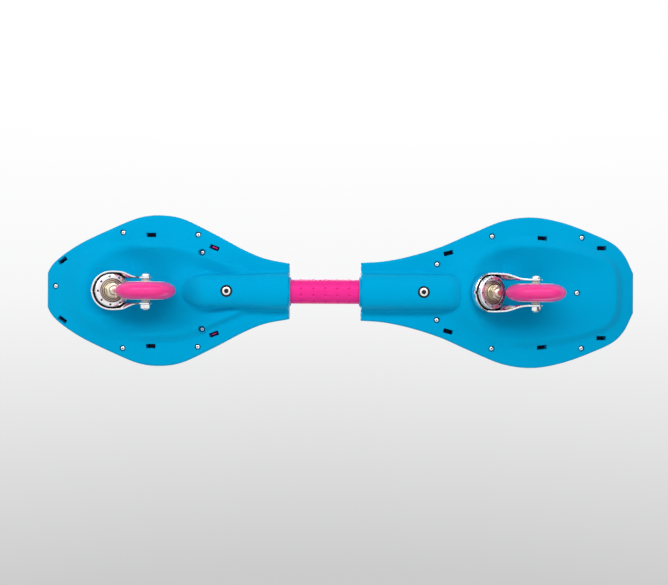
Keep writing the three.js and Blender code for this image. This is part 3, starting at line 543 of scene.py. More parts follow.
class PlanCurves:
    """A deck's plan as points on rays from one centre, so that its rings line up."""

    def __init__(self, deck: DeckSizes, per_side: int = 118) -> None:
        """Sample the deck's curves."""
        self.deck = deck
        self.centre = np.array([deck.x(deck.centre), 0.0])
        side = self.smooth([(0, deck.tip_flat / SIZES.half_width), *deck.outline], per_side, 1.15)
        tip = np.linspace(0, 1, 7)[:-1, None] * (side[0] - [side[0][0], 0]) + [side[0][0], 0]
        waist = side[-1] * [1, 0] + np.linspace(1, 0, 12)[1:, None] * (side[-1] * [0, 1])
        half = np.concatenate([tip, side, waist])
        loop = np.concatenate([half, half[1:-1][::-1] * [1, -1]])
        self.outline = loop if self.area(loop) > 0 else loop[::-1]
        self.crest = self.on_rays(self.smooth(deck.crest, 400, 1))
        foot = self.on_rays(self.smooth(deck.foot, 400, 1)) - self.centre
        self.foot = self.centre + foot * (1 + deck.foot_spread / np.linalg.norm(foot, axis=1, keepdims=True))

    @staticmethod
    def area(loop: np.ndarray) -> float:
        """Signed area of a loop."""
        after = np.roll(loop, -1, axis=0)
        return float(np.sum(loop[:, 0] * after[:, 1] - after[:, 0] * loop[:, 1])) / 2

    def smooth(self, shares: Profile, steps: int, easing: float) -> np.ndarray:
        """A smooth curve through points given as shares, evenly stepped or eased towards its start."""
        points = np.array([(self.deck.x(a), b * SIZES.half_width) for a, b in shares])
        ends = np.array([2 * points[0] - points[1], 2 * points[-1] - points[-2]])
        all_points = np.concatenate([ends[:1], points, ends[1:]])
        t = np.linspace(0, 1, 40)[:, None]
        dense = [points[:1]]
        for p0, p1, p2, p3 in zip(all_points, all_points[1:], all_points[2:], all_points[3:]):
            d0, d1, d2 = (max(float(np.linalg.norm(b - a)) ** 0.5, 1e-4) for a, b in ((p0, p1), (p1, p2), (p2, p3)))
            v1 = ((p1 - p0) / d0 - (p2 - p0) / (d0 + d1) + (p2 - p1) / d1) * d1
            v2 = ((p2 - p1) / d1 - (p3 - p1) / (d1 + d2) + (p3 - p2) / d2) * d1
            dense.append((p1 + v1 * t + (3 * (p2 - p1) - 2 * v1 - v2) * t**2 + (2 * (p1 - p2) + v1 + v2) * t**3)[1:])
        curve = np.concatenate(dense)
        curve[:, 1] = np.maximum(curve[:, 1], 0)
        run = np.concatenate([[0], np.cumsum(np.linalg.norm(np.diff(curve, axis=0), axis=1))])
        places = run[-1] * np.linspace(0, 1, steps + 1) ** easing
        return np.stack([np.interp(places, run, curve[:, 0]), np.interp(places, run, curve[:, 1])], axis=1)

    def on_rays(self, half: np.ndarray) -> np.ndarray:
        """Where the rays through the outline's points meet a curve given as its left half."""
        arms = half - self.centre
        angles, reach = np.arctan2(arms[:, 1], arms[:, 0]), np.linalg.norm(arms, axis=1)
        order = np.argsort(angles)
        rays = self.outline - self.centre
        at = np.interp(np.abs(np.arctan2(rays[:, 1], rays[:, 0])), angles[order], reach[order])
        return self.centre + rays / np.linalg.norm(rays, axis=1, keepdims=True) * at[:, None]

    def inset(self, distance: float, stop: float = 0) -> np.ndarray:
        """The outline moved inwards, and kept short of the waist's solid end by a distance."""
        along = np.roll(self.outline, -1, axis=0) - np.roll(self.outline, 1, axis=0)
        along /= np.linalg.norm(along, axis=1, keepdims=True)
        loop = self.outline + np.stack([-along[:, 1], along[:, 0]], axis=1) * distance
        end, way = self.deck.x(1), self.deck.inwards
        near = (end - self.outline[:, 0]) * way < distance * 1.2
        half = self.deck.outline[-1][1] * SIZES.half_width - distance
        loop[near, 1] = np.clip(loop[near, 1], -half, half)
        loop[:, 0] = np.minimum(loop[:, 0] * way, (end - way * max(stop, distance)) * way) * way
        return loop

    def even_inset(self, distance: float, stop: float) -> np.ndarray:
        """The outline moved inwards and put back on the rays, so that deep insets don't fold."""
        loop = self.inset(distance, stop)
        return self.on_rays(loop[loop[:, 1] >= 0])

    @staticmethod
    def raised(loop: np.ndarray, height: float) -> np.ndarray:
        """A loop at a height, with the kick of the nose and the tail."""
        return np.column_stack([loop, height + SIZES.kick(loop[:, 0])])


class Deck:
    """A deck: its moulded shell, the traction platform on top and the screws that hold them together."""

    def __init__(self, deck: DeckSizes) -> None:
        """Plan the deck."""
        self.deck = deck
        self.plan = PlanCurves(deck)
        self.body = f"{deck.name}_deck"

    def underside(self, lift: float, fine: int) -> list[np.ndarray]:
        """Rings from the middle of the dish over the crest to the foot of the hump."""
        plan, deck = self.plan, self.deck
        rings = [self.eased(plan.centre + (plan.crest - plan.centre) * 0, SIZES.rim + deck.dish, lift)]
        for share in np.linspace(0, 1, fine * 2)[1:] ** 0.75:
            height = SIZES.rim - deck.hump + (deck.hump + deck.dish) * self.bowl(share)
            rings.append(self.eased(plan.centre + (plan.crest - plan.centre) * share, height, lift))
        for share in np.linspace(0, 1, fine)[1:]:
            height = SIZES.rim - deck.hump * (1 + math.cos(math.pi * share)) / 2
            rings.append(self.eased(plan.crest + (plan.foot - plan.crest) * share, height, lift))
        return rings

    @staticmethod
    def bowl(share: float, softness: float = 0.07) -> float:
        """How high the dish is between its rounded crest, 0, and its middle, 1."""
        return (math.hypot(1 - share * share, softness) - softness) / (math.hypot(1, softness) - softness)

    def eased(self, loop: np.ndarray, height: float, lift: float) -> np.ndarray:
        """A ring of the underside, with the socket's end and the caster's pocket eased into it.

        Args:
            loop: the ring's plan.
            height: the height of the plain dish or hump there.
            lift: how far above the underside the ring is.
        Returns:
            The ring's points.
        """
        deck, ring = self.deck, self.plan.raised(loop, height)
        past = np.maximum(0, -deck.inwards * (ring[:, 0] - deck.socket_end) / deck.nose_length + 1)
        gap = np.maximum(0, np.hypot(past, ring[:, 1] / deck.socket_width) - 1) * deck.socket_width
        ring[:, 2] -= np.maximum(0, ring[:, 2] - SIZES.rim) * deck.mound * np.exp(-((gap / 13) ** 2))
        ring[:, 2] -= deck.saddle * np.exp(-(((ring[:, 0] - deck.socket_end - 4) / 24) ** 2) - (ring[:, 1] / 32) ** 2)
        arm = ring - [deck.pad_x, 0, SIZES.pad_height]
        up = np.array([math.sin(SIZES.tilt), 0, math.cos(SIZES.tilt)])
        along = arm @ up
        radius = np.linalg.norm(arm - along[:, None] * up, axis=1)
        short = (0.7 - along) / up[2]
        rise = np.minimum((short + np.sqrt(short**2 + 9)) / 2, np.maximum(0, 78.5 - ring[:, 2]))
        ring[:, 2] += rise * smoothstep((68 - radius) / 40) + lift
        return ring

    def tray(self, hollow: bool = True) -> bpy.types.Object:
        """The moulded tray before anything is joined to it, or the solid that fills it to just above its underside."""
        plan, deck = self.plan, self.deck
        rings = self.underside(0 if hollow else 0.3, 13)
        edge = plan.inset(deck.rim_rounding + 1)
        rings += [plan.raised(plan.foot + (edge - plan.foot) * s, SIZES.rim) for s in (0.33, 0.67, 1)]
        for angle in np.linspace(0, QUARTER, 6):
            inset = deck.rim_rounding * (1 - math.sin(angle))
            rings.append(plan.raised(plan.inset(inset), SIZES.rim + deck.rim_rounding * (1 - math.cos(angle))))
        if not hollow:
            top = plan.inset(deck.wall)
            rings += [plan.raised(top, 81.9), plan.raised(plan.centre + (top - plan.centre) * 0, 81.9)]
            return lofted("filling", np.array(rings))
        shoulder = SIZES.deck_top - deck.top_rounding
        for angle in np.linspace(0, QUARTER, 5):
            inset = deck.top_rounding * (1 - math.cos(angle))
            rings.append(plan.raised(plan.inset(inset), shoulder + deck.top_rounding * math.sin(angle)))
        inner = plan.inset(deck.wall, deck.waist_block)
        rings += [plan.raised(inner, height) for height in (SIZES.deck_top, SIZES.platform_under, SIZES.rim + deck.skin)]
        rings += self.underside(deck.skin, 6)[::-1]
        return lofted(f"{deck.name}_deck_shell_moulding", np.array(rings))

    def socket(self) -> bpy.types.Object:
        """The arched housing of the torsion tube, with a rounded nose."""
        deck, depth, foot, squareness = self.deck, SIZES.socket_radius, 4.2, 0.9
        start, end = deck.x(1), deck.socket_end
        reach = abs(end - start)
        nose = deck.nose_length / reach
        rings = []
        for step in np.concatenate([np.linspace(0, 0.999, 48), [1.0]]):
            place = step if step < 1 - nose else 1 - nose + nose * math.sin(QUARTER * (step - 1 + nose) / nose)
            x = start + (end - start) * place
            scale = math.sqrt(max(1 - (max(0.0, place - 1 + nose) / nose) ** 2, 0))
            spread = float(smoothstep((abs(x - start) - deck.flare_until + 30) / 30))
            width = 20.7 + (deck.socket_width - 20.7) * spread
            left = [(width + foot, 1.5), *arc((width + foot, -foot), foot, 90, 180, 5)]
            arch = []
            for angle in np.linspace(0, QUARTER, 24)[1:]:
                across = width * max(math.cos(angle), 0) ** squareness
                arch.append((across, -foot - (depth - foot) * math.sin(angle) ** squareness))
            half = [(16.0, 11.0), (width + foot * 0.6, 5.0), *left, *arch]
            section = half + [(-y, z) for y, z in half[-2::-1]]
            rings.append([(x, y * scale, SIZES.tube_axis + z * (scale**3 if z < 0 else 1)) for y, z in section])
        middle = [[(x, 0, SIZES.tube_axis + 2)] * len(rings[0]) for x in (start, end)]
        return lofted("socket", np.array([middle[0], *rings, middle[1]]))

    def pad(self) -> list[bpy.types.Object]:
        """The caster's boss and the plastic behind its pocket."""
        place = SIZES.at_pad(self.deck.pad_x)
        pieces = []
        for radius, low, top in ((21.5, 0.02, 81.85), (28.5, 0.05, 81.6)):
            piece = moved(pipe("boss", 0, radius, low, 30, 0, 96), place)
            with editing(piece):
                bpy.ops.mesh.bisect(plane_co=(0, 0, top), plane_no=(0, 0, 1), use_fill=True, clear_outer=True)
            pieces.append(piece)
        wide = 21.5 * math.cos(SIZES.tilt)
        oval = [(self.deck.pad_x + wide * math.cos(a), 21.5 * math.sin(a)) for a in np.linspace(0, math.tau, 97)[:-1]]
        combine(pieces[0], Join.COMMON, prism("upright", oval, 40, 90))
        combine(pieces[1], Join.COMMON, self.tray(hollow=False))
        return pieces

    def screw_places(self) -> dict[str, tuple[float, float, float]]:
        """Where each platform screw's head bears, by name."""
        places = {}
        for name, (along, across, through) in self.deck.screws.items():
            x = self.deck.x(along)
            share = (self.deck.centre - along) / (self.deck.centre - self.deck.crest[0][0])
            rise = (self.deck.hump + self.deck.dish) * self.bowl(share) - self.deck.hump + 2.4 if through == "dish" else 4
            places[name] = (x, across * SIZES.half_width, SIZES.rim + rise + float(SIZES.kick(x)))
        return places

    def slot_places(self) -> list[tuple[float, float, float]]:
        """Where each snap slot is, and its turn in radians."""
        return [
            (self.deck.x(a), side * b * SIZES.half_width, side * math.radians(t)) for a, b, t in self.deck.slots for side in (1, -1)
        ]

    def screw_bosses(self) -> list[bpy.types.Object]:
        """The bosses inside the shell around the screws and the snap slots."""
        bosses = []
        for name, (x, y, seat) in self.screw_places().items():
            through = self.deck.screws[name][2]
            low = SIZES.rim - 2 if through == "crest" else seat - 1.6
            high = seat + 3.2 if through == "dish" else 77.4 + float(SIZES.kick(x))
            bosses.append(moved(pipe("boss", 0, 4.6, low, high, 0, 24), shift(x, y)))
        for x, y, turn in self.slot_places():
            low, high = (SIZES.rim + float(SIZES.kick(x)) + rise for rise in (1.5, 13.5))
            boss = block("slot_boss", (14.4, 8.2, high - low), (0, 0, (low + high) / 2))
            bosses.append(moved(boss, shift(x, y), Matrix.Rotation(turn, 4, "Z")))
        return bosses

    def openings(self) -> list[list[bpy.types.Object]]:
        """Cutters, in groups that don't touch each other."""
        deck, axis = self.deck, SIZES.tube_axis
        place = SIZES.at_pad(deck.pad_x)
        pocket = moved(turned("pocket", [(0, -60), (26, -60), (26, 0), (0, 0)], 128), place)
        surface = [pocket]
        for x, y, seat in self.screw_places().values():
            face = SIZES.rim + float(SIZES.kick(x)) if abs(y) > 0.1 else seat - 2.4
            profile = [(0, face - 20), (4.1, face - 20), (4.1, face - 0.25), (3.4, face + 0.45), (3.4, seat), (1.9, seat), (1.9, seat + 7), (0, seat + 7)]
            surface.append(moved(turned("hole", profile, 32), shift(x, y)))
        for x, y, turn in self.slot_places():
            high = SIZES.rim + 11.5 + float(SIZES.kick(x))
            slot = bevelled(block("slot", (11.2, 5.0, high - 50), (0, 0, (high + 50) / 2)), 0.6, 2)
            surface.append(moved(slot, shift(x, y), Matrix.Rotation(turn, 4, "Z")))
        recess = [(0, 30), (7.6, 30), (7.6, 47.3), (6.85, 48.3), (6.85, 51.18), (3.3, 51.18), (3.3, axis), (0, axis)]
        surface.append(moved(turned("recess", recess, 48), shift(deck.bolt_x)))
        mouth, depth = deck.bore_steps
        bore = [(0, -20), (15.2, -20), (15.2, -2.2), (14.5, -1.4), (14.5, 24.2), (13.6, 24.2), (13.6, mouth + 0.01),
                (11.3, mouth + 0.01), (11.3, depth), (0, depth)]
        turn = Matrix.Rotation(-deck.inwards * QUARTER, 4, "Y")
        bore_cutter = moved(turned("bore", bore, 64), shift(deck.x(1), 0, axis), turn)
        kingpin = moved(turned("kingpin_hole", [(0, -4), (5.3, -4), (5.3, 9.5), (8.6, 9.5), (8.6, 30), (0, 30)], 48), place)
        return [surface, [bore_cutter, kingpin]]

    def build_shell(self) -> None:
        """The deck's moulded shell."""
        shell = self.tray()
        combine(shell, Join.ADD, self.socket())
        collar = moved(turned("collar", [(0, -2.4), (16.2, -2.4), (16.9, -2.1), (17.8, -1.0), (18, -0.3), (18, 8), (0, 8)], 96),
                       shift(self.deck.x(1), 0, SIZES.tube_axis), Matrix.Rotation(-self.deck.inwards * QUARTER, 4, "Y"))
        combine(shell, Join.ADD, collar)
        for piece in [*self.pad(), gathered(self.screw_bosses())]:
            combine(shell, Join.ADD, piece)
        for cutters in self.openings():
            combine(shell, Join.CUT, gathered(cutters))
        close_seams(shell)
        fit_piece(shell, Finish.DECK, self.body, f"{self.deck.name}_deck_shell", degrees=28)
        apply_modifier(shell, "WEIGHTED_NORMAL", keep_sharp=True)

    def build_platform(self) -> None:
        """The traction platform: a plate with a raised edge, rows of grip studs, pegs and snap tabs."""
        deck, plan = self.deck, self.plan
        outer, stop = deck.wall + 0.4, deck.waist_block + 0.4
        edge = SIZES.platform_top + 1.3
        centre = np.repeat(plan.centre[None], len(plan.outline), axis=0)
        stations = [(outer, SIZES.platform_under), (outer, edge - 0.7), (outer + 0.2, edge - 0.2), (outer + 0.7, edge)]
        stations += [(outer + 3, edge - 0.1), (outer + 6, edge - 0.65), (outer + 9, SIZES.platform_top)]
        rings = [plan.raised(centre, SIZES.platform_under)]
        inner = plan.even_inset(outer + 9, stop)
        rings += [plan.raised(plan.centre + (inner - plan.centre) * s, SIZES.platform_under) for s in (0.35, 0.7, 1)]
        rings += [plan.raised(plan.even_inset(inset, stop), height) for inset, height in stations]
        rings += [plan.raised(plan.centre + (inner - plan.centre) * s, SIZES.platform_top) for s in (0.85, 0.7, 0.5, 0.35, 0.2, 0)]
        plate = lofted(f"{deck.name}_platform_plate", np.array(rings))
        apply_modifier(plate, "TRIANGULATE")
        for i, (x, y, turn) in enumerate(self.slot_places()):
            depth = 3.6 if i >= len(self.slot_places()) - 2 else 12.0
            low, high = SIZES.rim + depth + float(SIZES.kick(x)), SIZES.platform_under + 1 + float(SIZES.kick(x))
            tab = bevelled(block("tab", (6.4, 1.5, high - low), (0, 0.3, (low + high) / 2)), 0.3, 2)
            combine(plate, Join.ADD, moved(tab, shift(x, y), Matrix.Rotation(turn, 4, "Z")))
        for name, (x, y, seat) in self.screw_places().items():
            low = seat + 3.5 if deck.screws[name][2] == "dish" else 77.7 + float(SIZES.kick(x))
            top = SIZES.platform_top + float(SIZES.kick(x))
            combine(plate, Join.ADD, moved(pipe("peg", 0, 3.8, low, top - 1.5, 0, 24), shift(x, y)))
            combine(plate, Join.CUT, moved(pipe("peg_hole", 0, 1.9, low - 5, top - 0.8, 0, 24), shift(x, y)))
        fit_piece(plate, Finish.PLATFORM, self.body, f"{deck.name}_platform", degrees=30)
        self.build_studs()

    def build_studs(self) -> None:
        """Grip studs in staggered rows over the platform."""
        deck, plan = self.deck, self.plan
        bpy.ops.mesh.primitive_cylinder_add(vertices=14, radius=1, depth=1)
        stud = moved(bpy.context.active_object, Matrix.Diagonal((3.4, 1.9, 1.1, 1)))
        stud.name = f"{deck.name}_grip_studs"
        bevelled(stud, 0.35, 1, 50)
        limit = plan.inset(deck.wall + 14, deck.waist_block + 8)
        arms = limit - plan.centre
        angles, reach = np.arctan2(arms[:, 1], arms[:, 0]), np.linalg.norm(arms, axis=1)
        order = np.argsort(angles)
        studs = []
        low, high = sorted((deck.x(0), deck.x(1)))
        for row, x in enumerate(np.arange(low + 12, high - 12, 10.5)):
            for y in np.arange(-78 + (row % 2) * 6, 79, 12):
                arm = np.array([x, y]) - plan.centre
                inside = np.interp(math.atan2(arm[1], arm[0]), angles[order], reach[order]) > np.linalg.norm(arm)
                if inside:
                    copy = stud.copy()
                    copy.data = stud.data.copy()
                    bpy.context.collection.objects.link(copy)
                    studs.append(moved(copy, shift(x, y, SIZES.platform_top + 0.1 + float(SIZES.kick(x)))))
        bpy.data.objects.remove(stud)
        rows = gathered(studs)
        rows.name = f"{deck.name}_grip_studs"
        fit_piece(rows, Finish.PLATFORM, self.body)

    def build_slot_seals(self) -> None:
        """Dark navy blocks in the floors of the snap slots: painted shade for the shadow deep in each slot."""
        shade_liners = []
        for x, y, turn in self.slot_places():
            low = SIZES.rim + float(SIZES.kick(x)) + 9.5
            dark_shape = block(f"{self.deck.name}_slot_seals", (11.0, 4.8, 1.9), (0, 0, low + 0.95))
            shade_liners.append(moved(dark_shape, shift(x, y), Matrix.Rotation(turn, 4, "Z")))
        fit_piece(gathered(shade_liners), Finish.SHADE, self.body)

    def build_screws(self, pattern: bpy.types.Object) -> None:
        """A copy of the platform screw in each hole."""
        for i, (name, (x, y, seat)) in enumerate(self.screw_places().items()):
            screw = pattern.copy()
            screw.data = pattern.data.copy()
            screw.name = f"{self.deck.name}_platform_screw_{name}"
            bpy.context.collection.objects.link(screw)
            moved(screw, shift(x, y, seat - 1.0), Matrix.Rotation(0.5 + i * 1.3, 4, "Z"))
            fit_piece(screw, Finish.ZINC, self.body, f"{self.deck.name}_screw_{name}")
        # The dark rings round each screw head are painted shade for the gap between the head and the recess wall; the
        # dark discs deep in each recess are painted shade as well.
        ring = [(2.75, -0.9), (3.35, -0.9), (3.35, 0), (2.75, 0)]
        for part, profile in (("gap_shade_rings", ring), ("recess_shadows", [(0, -1.95), (0.95, -1.95), (0.95, -1.75), (0, -1.75)])):
            pieces = []
            for x, y, seat in self.screw_places().values():
                pieces.append(moved(turned(f"{self.deck.name}_screw_{part}", profile, 32), shift(x, y, seat - 0.3)))
            fit_piece(gathered(pieces), Finish.NYLON, self.body)

    def build_tube_bolt(self) -> None:
        """The cap screw that holds the torsion tube."""
        profile = [(0, -3.2), (4.1, -3.2), (4.5, -3.0), (4.65, -2.6), (4.65, 0), (3, 0), (3, 9.6), (0, 9.6)]
        bolt = turned(f"{self.deck.name}_cap_screw", profile, 48)
        combine(bolt, Join.CUT, hexagon("key", 2.9, -5, -0.6))
        bevelled(bolt, 0.12, 1, 50)
        seat = shift(self.deck.bolt_x, 0, 51.18 - 0.3)
        fit_piece(moved(bolt, seat, Matrix.Rotation(0.35, 4, "Z")), Finish.ZINC, self.body, f"{self.deck.name}_tube_bolt")
        washer = turned(f"{self.deck.name}_cap_screw_washer", [(4.7, 0.25), (4.7, -1.6), (4.9, -1.8), (6.6, -1.8), (6.8, -1.6), (6.8, 0.25)], 48)
        fit_piece(moved(washer, seat), Finish.NYLON, self.body)
        # A dark hexagon in the floor of the key socket: painted shade for the deep socket.
        key_shade = hexagon(f"{self.deck.name}_cap_screw_key_floor", 2.8, -0.9, -0.55)
        fit_piece(moved(key_shade, seat, Matrix.Rotation(0.35, 4, "Z")), Finish.NYLON, self.body)


def platform_screw() -> bpy.types.Object:
    """A pan-head screw with a cross recess, its head's bearing face at the origin."""
    head = [(0, -2.2), (1.2, -2.16), (2.0, -1.9), (2.5, -1.4), (2.7, -0.7), (2.7, 0), (1.5, 0)]
    thread = [(r, z) for turn in range(7) for r, z in ((1.5, turn + 0.3), (1.15, turn + 0.8))]
    screw = turned("platform_screw", [*head, *thread, (0, 7.6)], 24)
    for angle in (0, QUARTER):
        slot = prism("slot", [(-1.5, -0.38), (1.5, -0.38), (1.5, 0.38), (-1.5, 0.38)], -3, -1.1)
        combine(screw, Join.CUT, moved(slot, Matrix.Rotation(angle, 4, "Z")))
    return screw


# ---------------------------------------------------------------- torsion joint


@dataclass(frozen=True)
class SleeveSizes:
    """The pink grip sleeve over the torsion tube."""

    start: float = -43.995
    end: float = 83.92
    inner: float = 11.3
    outer: float = 14.2
    dimple_columns: Sequence[float] = (45.2, 31.2, 17.5, 3.6, -10.1)
    dimple_rows: int = 11
    first_row: float = math.radians(-108.8)
    dimple_radius: float = 1.7
    dimple_depth: float = 1.7


class TorsionJoint:
    """The tube between the decks and what it is made of."""

    def __init__(self, sizes: SleeveSizes) -> None:
        """Take the sleeve's sizes."""
        self.sizes = sizes

    def build_sleeve(self) -> None:
        """The grip sleeve, with a pattern of dimples pressed into it."""
        s = self.sizes
        around = s.dimple_rows * 24
        near = [c + d for c in s.dimple_columns for d in np.linspace(-1.6, 1.6, 13)]
        stations = sorted({round(float(x), 3) for x in [*near, *np.linspace(s.start + 0.6, s.end - 0.6, 22)]})
        angles = s.first_row + np.arange(around) * math.tau / around
        rings = []
        for radius, x in ((s.inner, s.end), (s.inner, s.start), (s.outer - 0.6, s.start), (s.outer - 0.18, s.start + 0.18)):
            rings.append((np.full(around, radius), x))
        for x in stations:
            gap = min(abs(x - c) for c in s.dimple_columns)
            step = math.tau / s.dimple_rows
            off = (np.abs((angles - s.first_row + step / 2) % step - step / 2)) * s.outer
            away = np.sqrt(off**2 + gap**2) / s.dimple_radius
            rings.append((s.outer - s.dimple_depth * (1 - smoothstep(away)), x))
        rings += [(np.full(around, s.outer - 0.18), s.end - 0.18), (np.full(around, s.outer - 0.6), s.end), (np.full(around, s.inner), s.end)]
        points = [np.column_stack([np.full(around, x), r * np.cos(angles), SIZES.tube_axis + r * np.sin(angles)]) for r, x in rings]
        sleeve = lofted("grip_sleeve", np.array(points))
        fit_piece(sleeve, Finish.SLEEVE, "front_deck", "tube_sleeve", degrees=50)

    def keep_inner_pieces(self) -> None:
        """The tube, its bush and the torsion bar are inside and stay as the frame has them."""
        for name in ("torsion_tube", "torsion_bar"):
            keep_node(name, Finish.STEEL)
        for name in ("front_bar_plug", "rear_bar_plug"):
            keep_node(name, Finish.ZINC)
        keep_node("rear_tube_bush", Finish.NYLON)


# ---------------------------------------------------------------- casters


@dataclass(frozen=True)
class ForkSizes:
    """The chrome fork, about its swivel axis, with down as negative."""

    crown: float = 22.5
    sheet: float = 1.6
    cup_top: float = 2.0
    cup_depth: float = 6.0
    hole: float = 9.6
    cheek_gap: float = 13.7
    cheek_end: float = 8.0
    offset: float = 27.3
    drop: float = 52.0
    axle_hole: float = 3.3


class Caster:
    """An inclined swivel caster: kingpin, bearing, fork and wheel."""

    def __init__(self, name: str, pad_x: float, fork: ForkSizes) -> None:
        """Take the caster's name, its pad's place along the board and its fork's sizes."""
        self.name = name
        self.place = SIZES.at_pad(pad_x)
        self.axle = self.place @ shift(-fork.offset, 0, -fork.drop) @ Along.Y.value
        self.fork = fork
        self.deck, self.swivel, self.wheel = f"{name}_deck", f"{name}_caster", f"{name}_wheel"

    def strap(self, radius: float, gap: float) -> list[tuple[float, float]]:
        """The fork seen along the swivel axis, out to a radius and a half gap."""
        f = self.fork
        back, start = -f.offset - f.cheek_end - 20, -radius * 0.2
        end = f.cheek_end - f.offset
        handle, side = (start - end) * 0.45, math.sqrt(radius**2 - start**2)
        turn = math.degrees(math.atan2(side, start))
        right = bezier((end, -gap), (end + handle, -gap), (start - handle, -side), (start, -side))
        left = bezier((start, side), (start - handle, side), (end + handle, gap), (end, gap))
        return [(back, -gap), (end, -gap), *right, *arc((0, 0), radius, -turn, turn, 72)[1:-1], (start, side), *left, (back, gap)]

    def side_view(self) -> list[tuple[float, float]]:
        """The fork's outline seen from the side."""
        f = self.fork
        front, low = f.crown + 0.3, -f.cup_top - f.cup_depth
        top, end = (-f.crown * 0.84, -f.cup_top), (-f.offset - f.cheek_end, -f.drop)
        pull = (-f.crown * 1.2, -f.drop * 0.45)
        back = bezier(top, self.toward(top, pull), self.toward(end, pull), end, 24)
        tip = arc((-f.offset, -f.drop), f.cheek_end, 180, 333, 24)[1:]
        skirt, push = (f.crown * 0.16, low), (-f.crown * 0.45, -f.drop * 0.55)
        rise = bezier(tip[-1], self.toward(tip[-1], push), self.toward(skirt, push), skirt, 24)
        return [(front, -f.cup_top), top, *back, *tip, *rise, (front, low)]

    @staticmethod
    def toward(point: Sequence[float], pull: Sequence[float]) -> tuple[float, float]:
        """A cubic handle that matches a quadratic curve's pull."""
        return (point[0] + (pull[0] - point[0]) * 2 / 3, point[1] + (pull[1] - point[1]) * 2 / 3)

    def build_fork(self) -> None:
        """The formed strap with its cup and two cheeks."""
        f = self.fork
        fork = prism(f"{self.name}_chrome_fork", self.strap(f.crown, f.cheek_gap + f.sheet), -80, 10)
        combine(fork, Join.CUT, prism("inside", self.strap(f.crown - f.sheet, f.cheek_gap), -90, 20))
        side = moved(prism("side", self.side_view(), -26, 26), Matrix.Rotation(QUARTER, 4, "X"))
        combine(fork, Join.COMMON, side)
        crown = pipe("crown", f.hole, f.crown - f.sheet / 2, -f.cup_top - f.sheet, -f.cup_top - 0.01, 0, 128)
        combine(fork, Join.ADD, crown)
        holes = [moved(pipe("axle_hole", 0, f.axle_hole, -30, 30, 0, 40), shift(-f.offset, 0, -f.drop), Along.Y.value)]
        holes.append(block("notch", (6, 3.2, 3.4), (f.crown - 0.6, 0, -f.cup_top - f.cup_depth)))
        combine(fork, Join.CUT, gathered(holes))
        close_seams(fork, 0.002)
        bevelled(fork, 0.35, 3, 40)
        moved(fork, self.place)
        fit_piece(fork, Finish.CHROME, self.swivel, f"{self.name}_fork", degrees=30)

    def about_swivel(self, name: str, profile: Profile, finish: Finish, body: str, *nodes: str, steps: int = 96) -> None:
        """A turned piece about the swivel axis."""
        fit_piece(moved(turned(f"{self.name}_{name}", profile, steps), self.place), finish, body, *nodes)

    def build_bearing(self) -> None:
        """The bearing housing with its grease holes, and the bearing's rings and seal; the dark discs in the holes, the
        dark ring round the housing and the dark gaps between the rings are painted shade.
        """
        name = self.name
        rounded = [(13.5, -5.2), (13.5, -13.7), (13.8, -14), (17.6, -14), (18.4, -13.8), (18.9, -13.3), (19.1, -12.6)]
        housing = turned(f"{name}_bearing_cup", [*rounded, (19.1, -3.9), (18.7, -3.7), (14, -3.7)], 128)
        holes, hole_shades = [], []
        for i in range(9):
            turn = Matrix.Rotation(math.radians(i * 40 - 2), 4, "Z")
            holes.append(moved(pipe("hole", 0, 1.2, -16, -10, 0, 20), turn, shift(16.3)))
            # Dark discs in the grease holes: painted shade, so that the holes read dark in the chrome.
            hole_shades.append(moved(pipe(f"{name}_bearing_cup_hole_seals", 0, 1.18, -13.8, -10.1, 0, 20), turn, shift(16.3)))
        combine(housing, Join.CUT, gathered(holes))
        bevelled(housing, 0.12, 1, 50)
        fit_piece(moved(housing, self.place), Finish.SATIN, self.swivel, f"{name}_bearing_housing")
        fit_piece(moved(gathered(hole_shades), self.place), Finish.NYLON, self.swivel)
        # A black ring in the channel between the fork's cup and the housing: painted shade for that channel, shaped as
        # a rubber ring.
        dust_and_shade = [(19.15, -3.65), (20.85, -3.65), (20.85, -5.6), (20.6, -5.9), (19.4, -5.9), (19.15, -5.6)]
        self.about_swivel("bearing_dust_ring", dust_and_shade, Finish.NYLON, self.swivel)
        outer = [(11.5, -12.05), (12.6, -12.05), (12.6, -12.7), (12.4, -13), (11.7, -13), (11.5, -12.8)]
        self.about_swivel("bearing_outer_race", outer, Finish.CREAM, self.swivel, f"{name}_swivel_bearing")
        # The seal is partly a real dark seal and partly painted shade: it shows as the dark gaps between the races and
        # the collar, including the shade at the lock washer's edge.
        dark_shape = [(9.0, -5.2), (13.45, -5.2), (13.45, -11.9), (13.3, -12), (9.2, -12), (9.0, -11.8)]
        self.about_swivel("bearing_seal", dark_shape, Finish.SEAL, self.swivel)
        collar = [(9.6, -12.05), (10.6, -12.05), (10.6, -12.8), (10.4, -13), (9.8, -13), (9.6, -12.8)]
        self.about_swivel("bearing_collar", collar, Finish.CREAM, self.swivel)
        inner = [(5.3, -5), (8.95, -5), (8.95, -12.6), (8.7, -13), (5.6, -13), (5.3, -12.8)]
        self.about_swivel("bearing_inner_race", inner, Finish.STEEL, self.swivel)

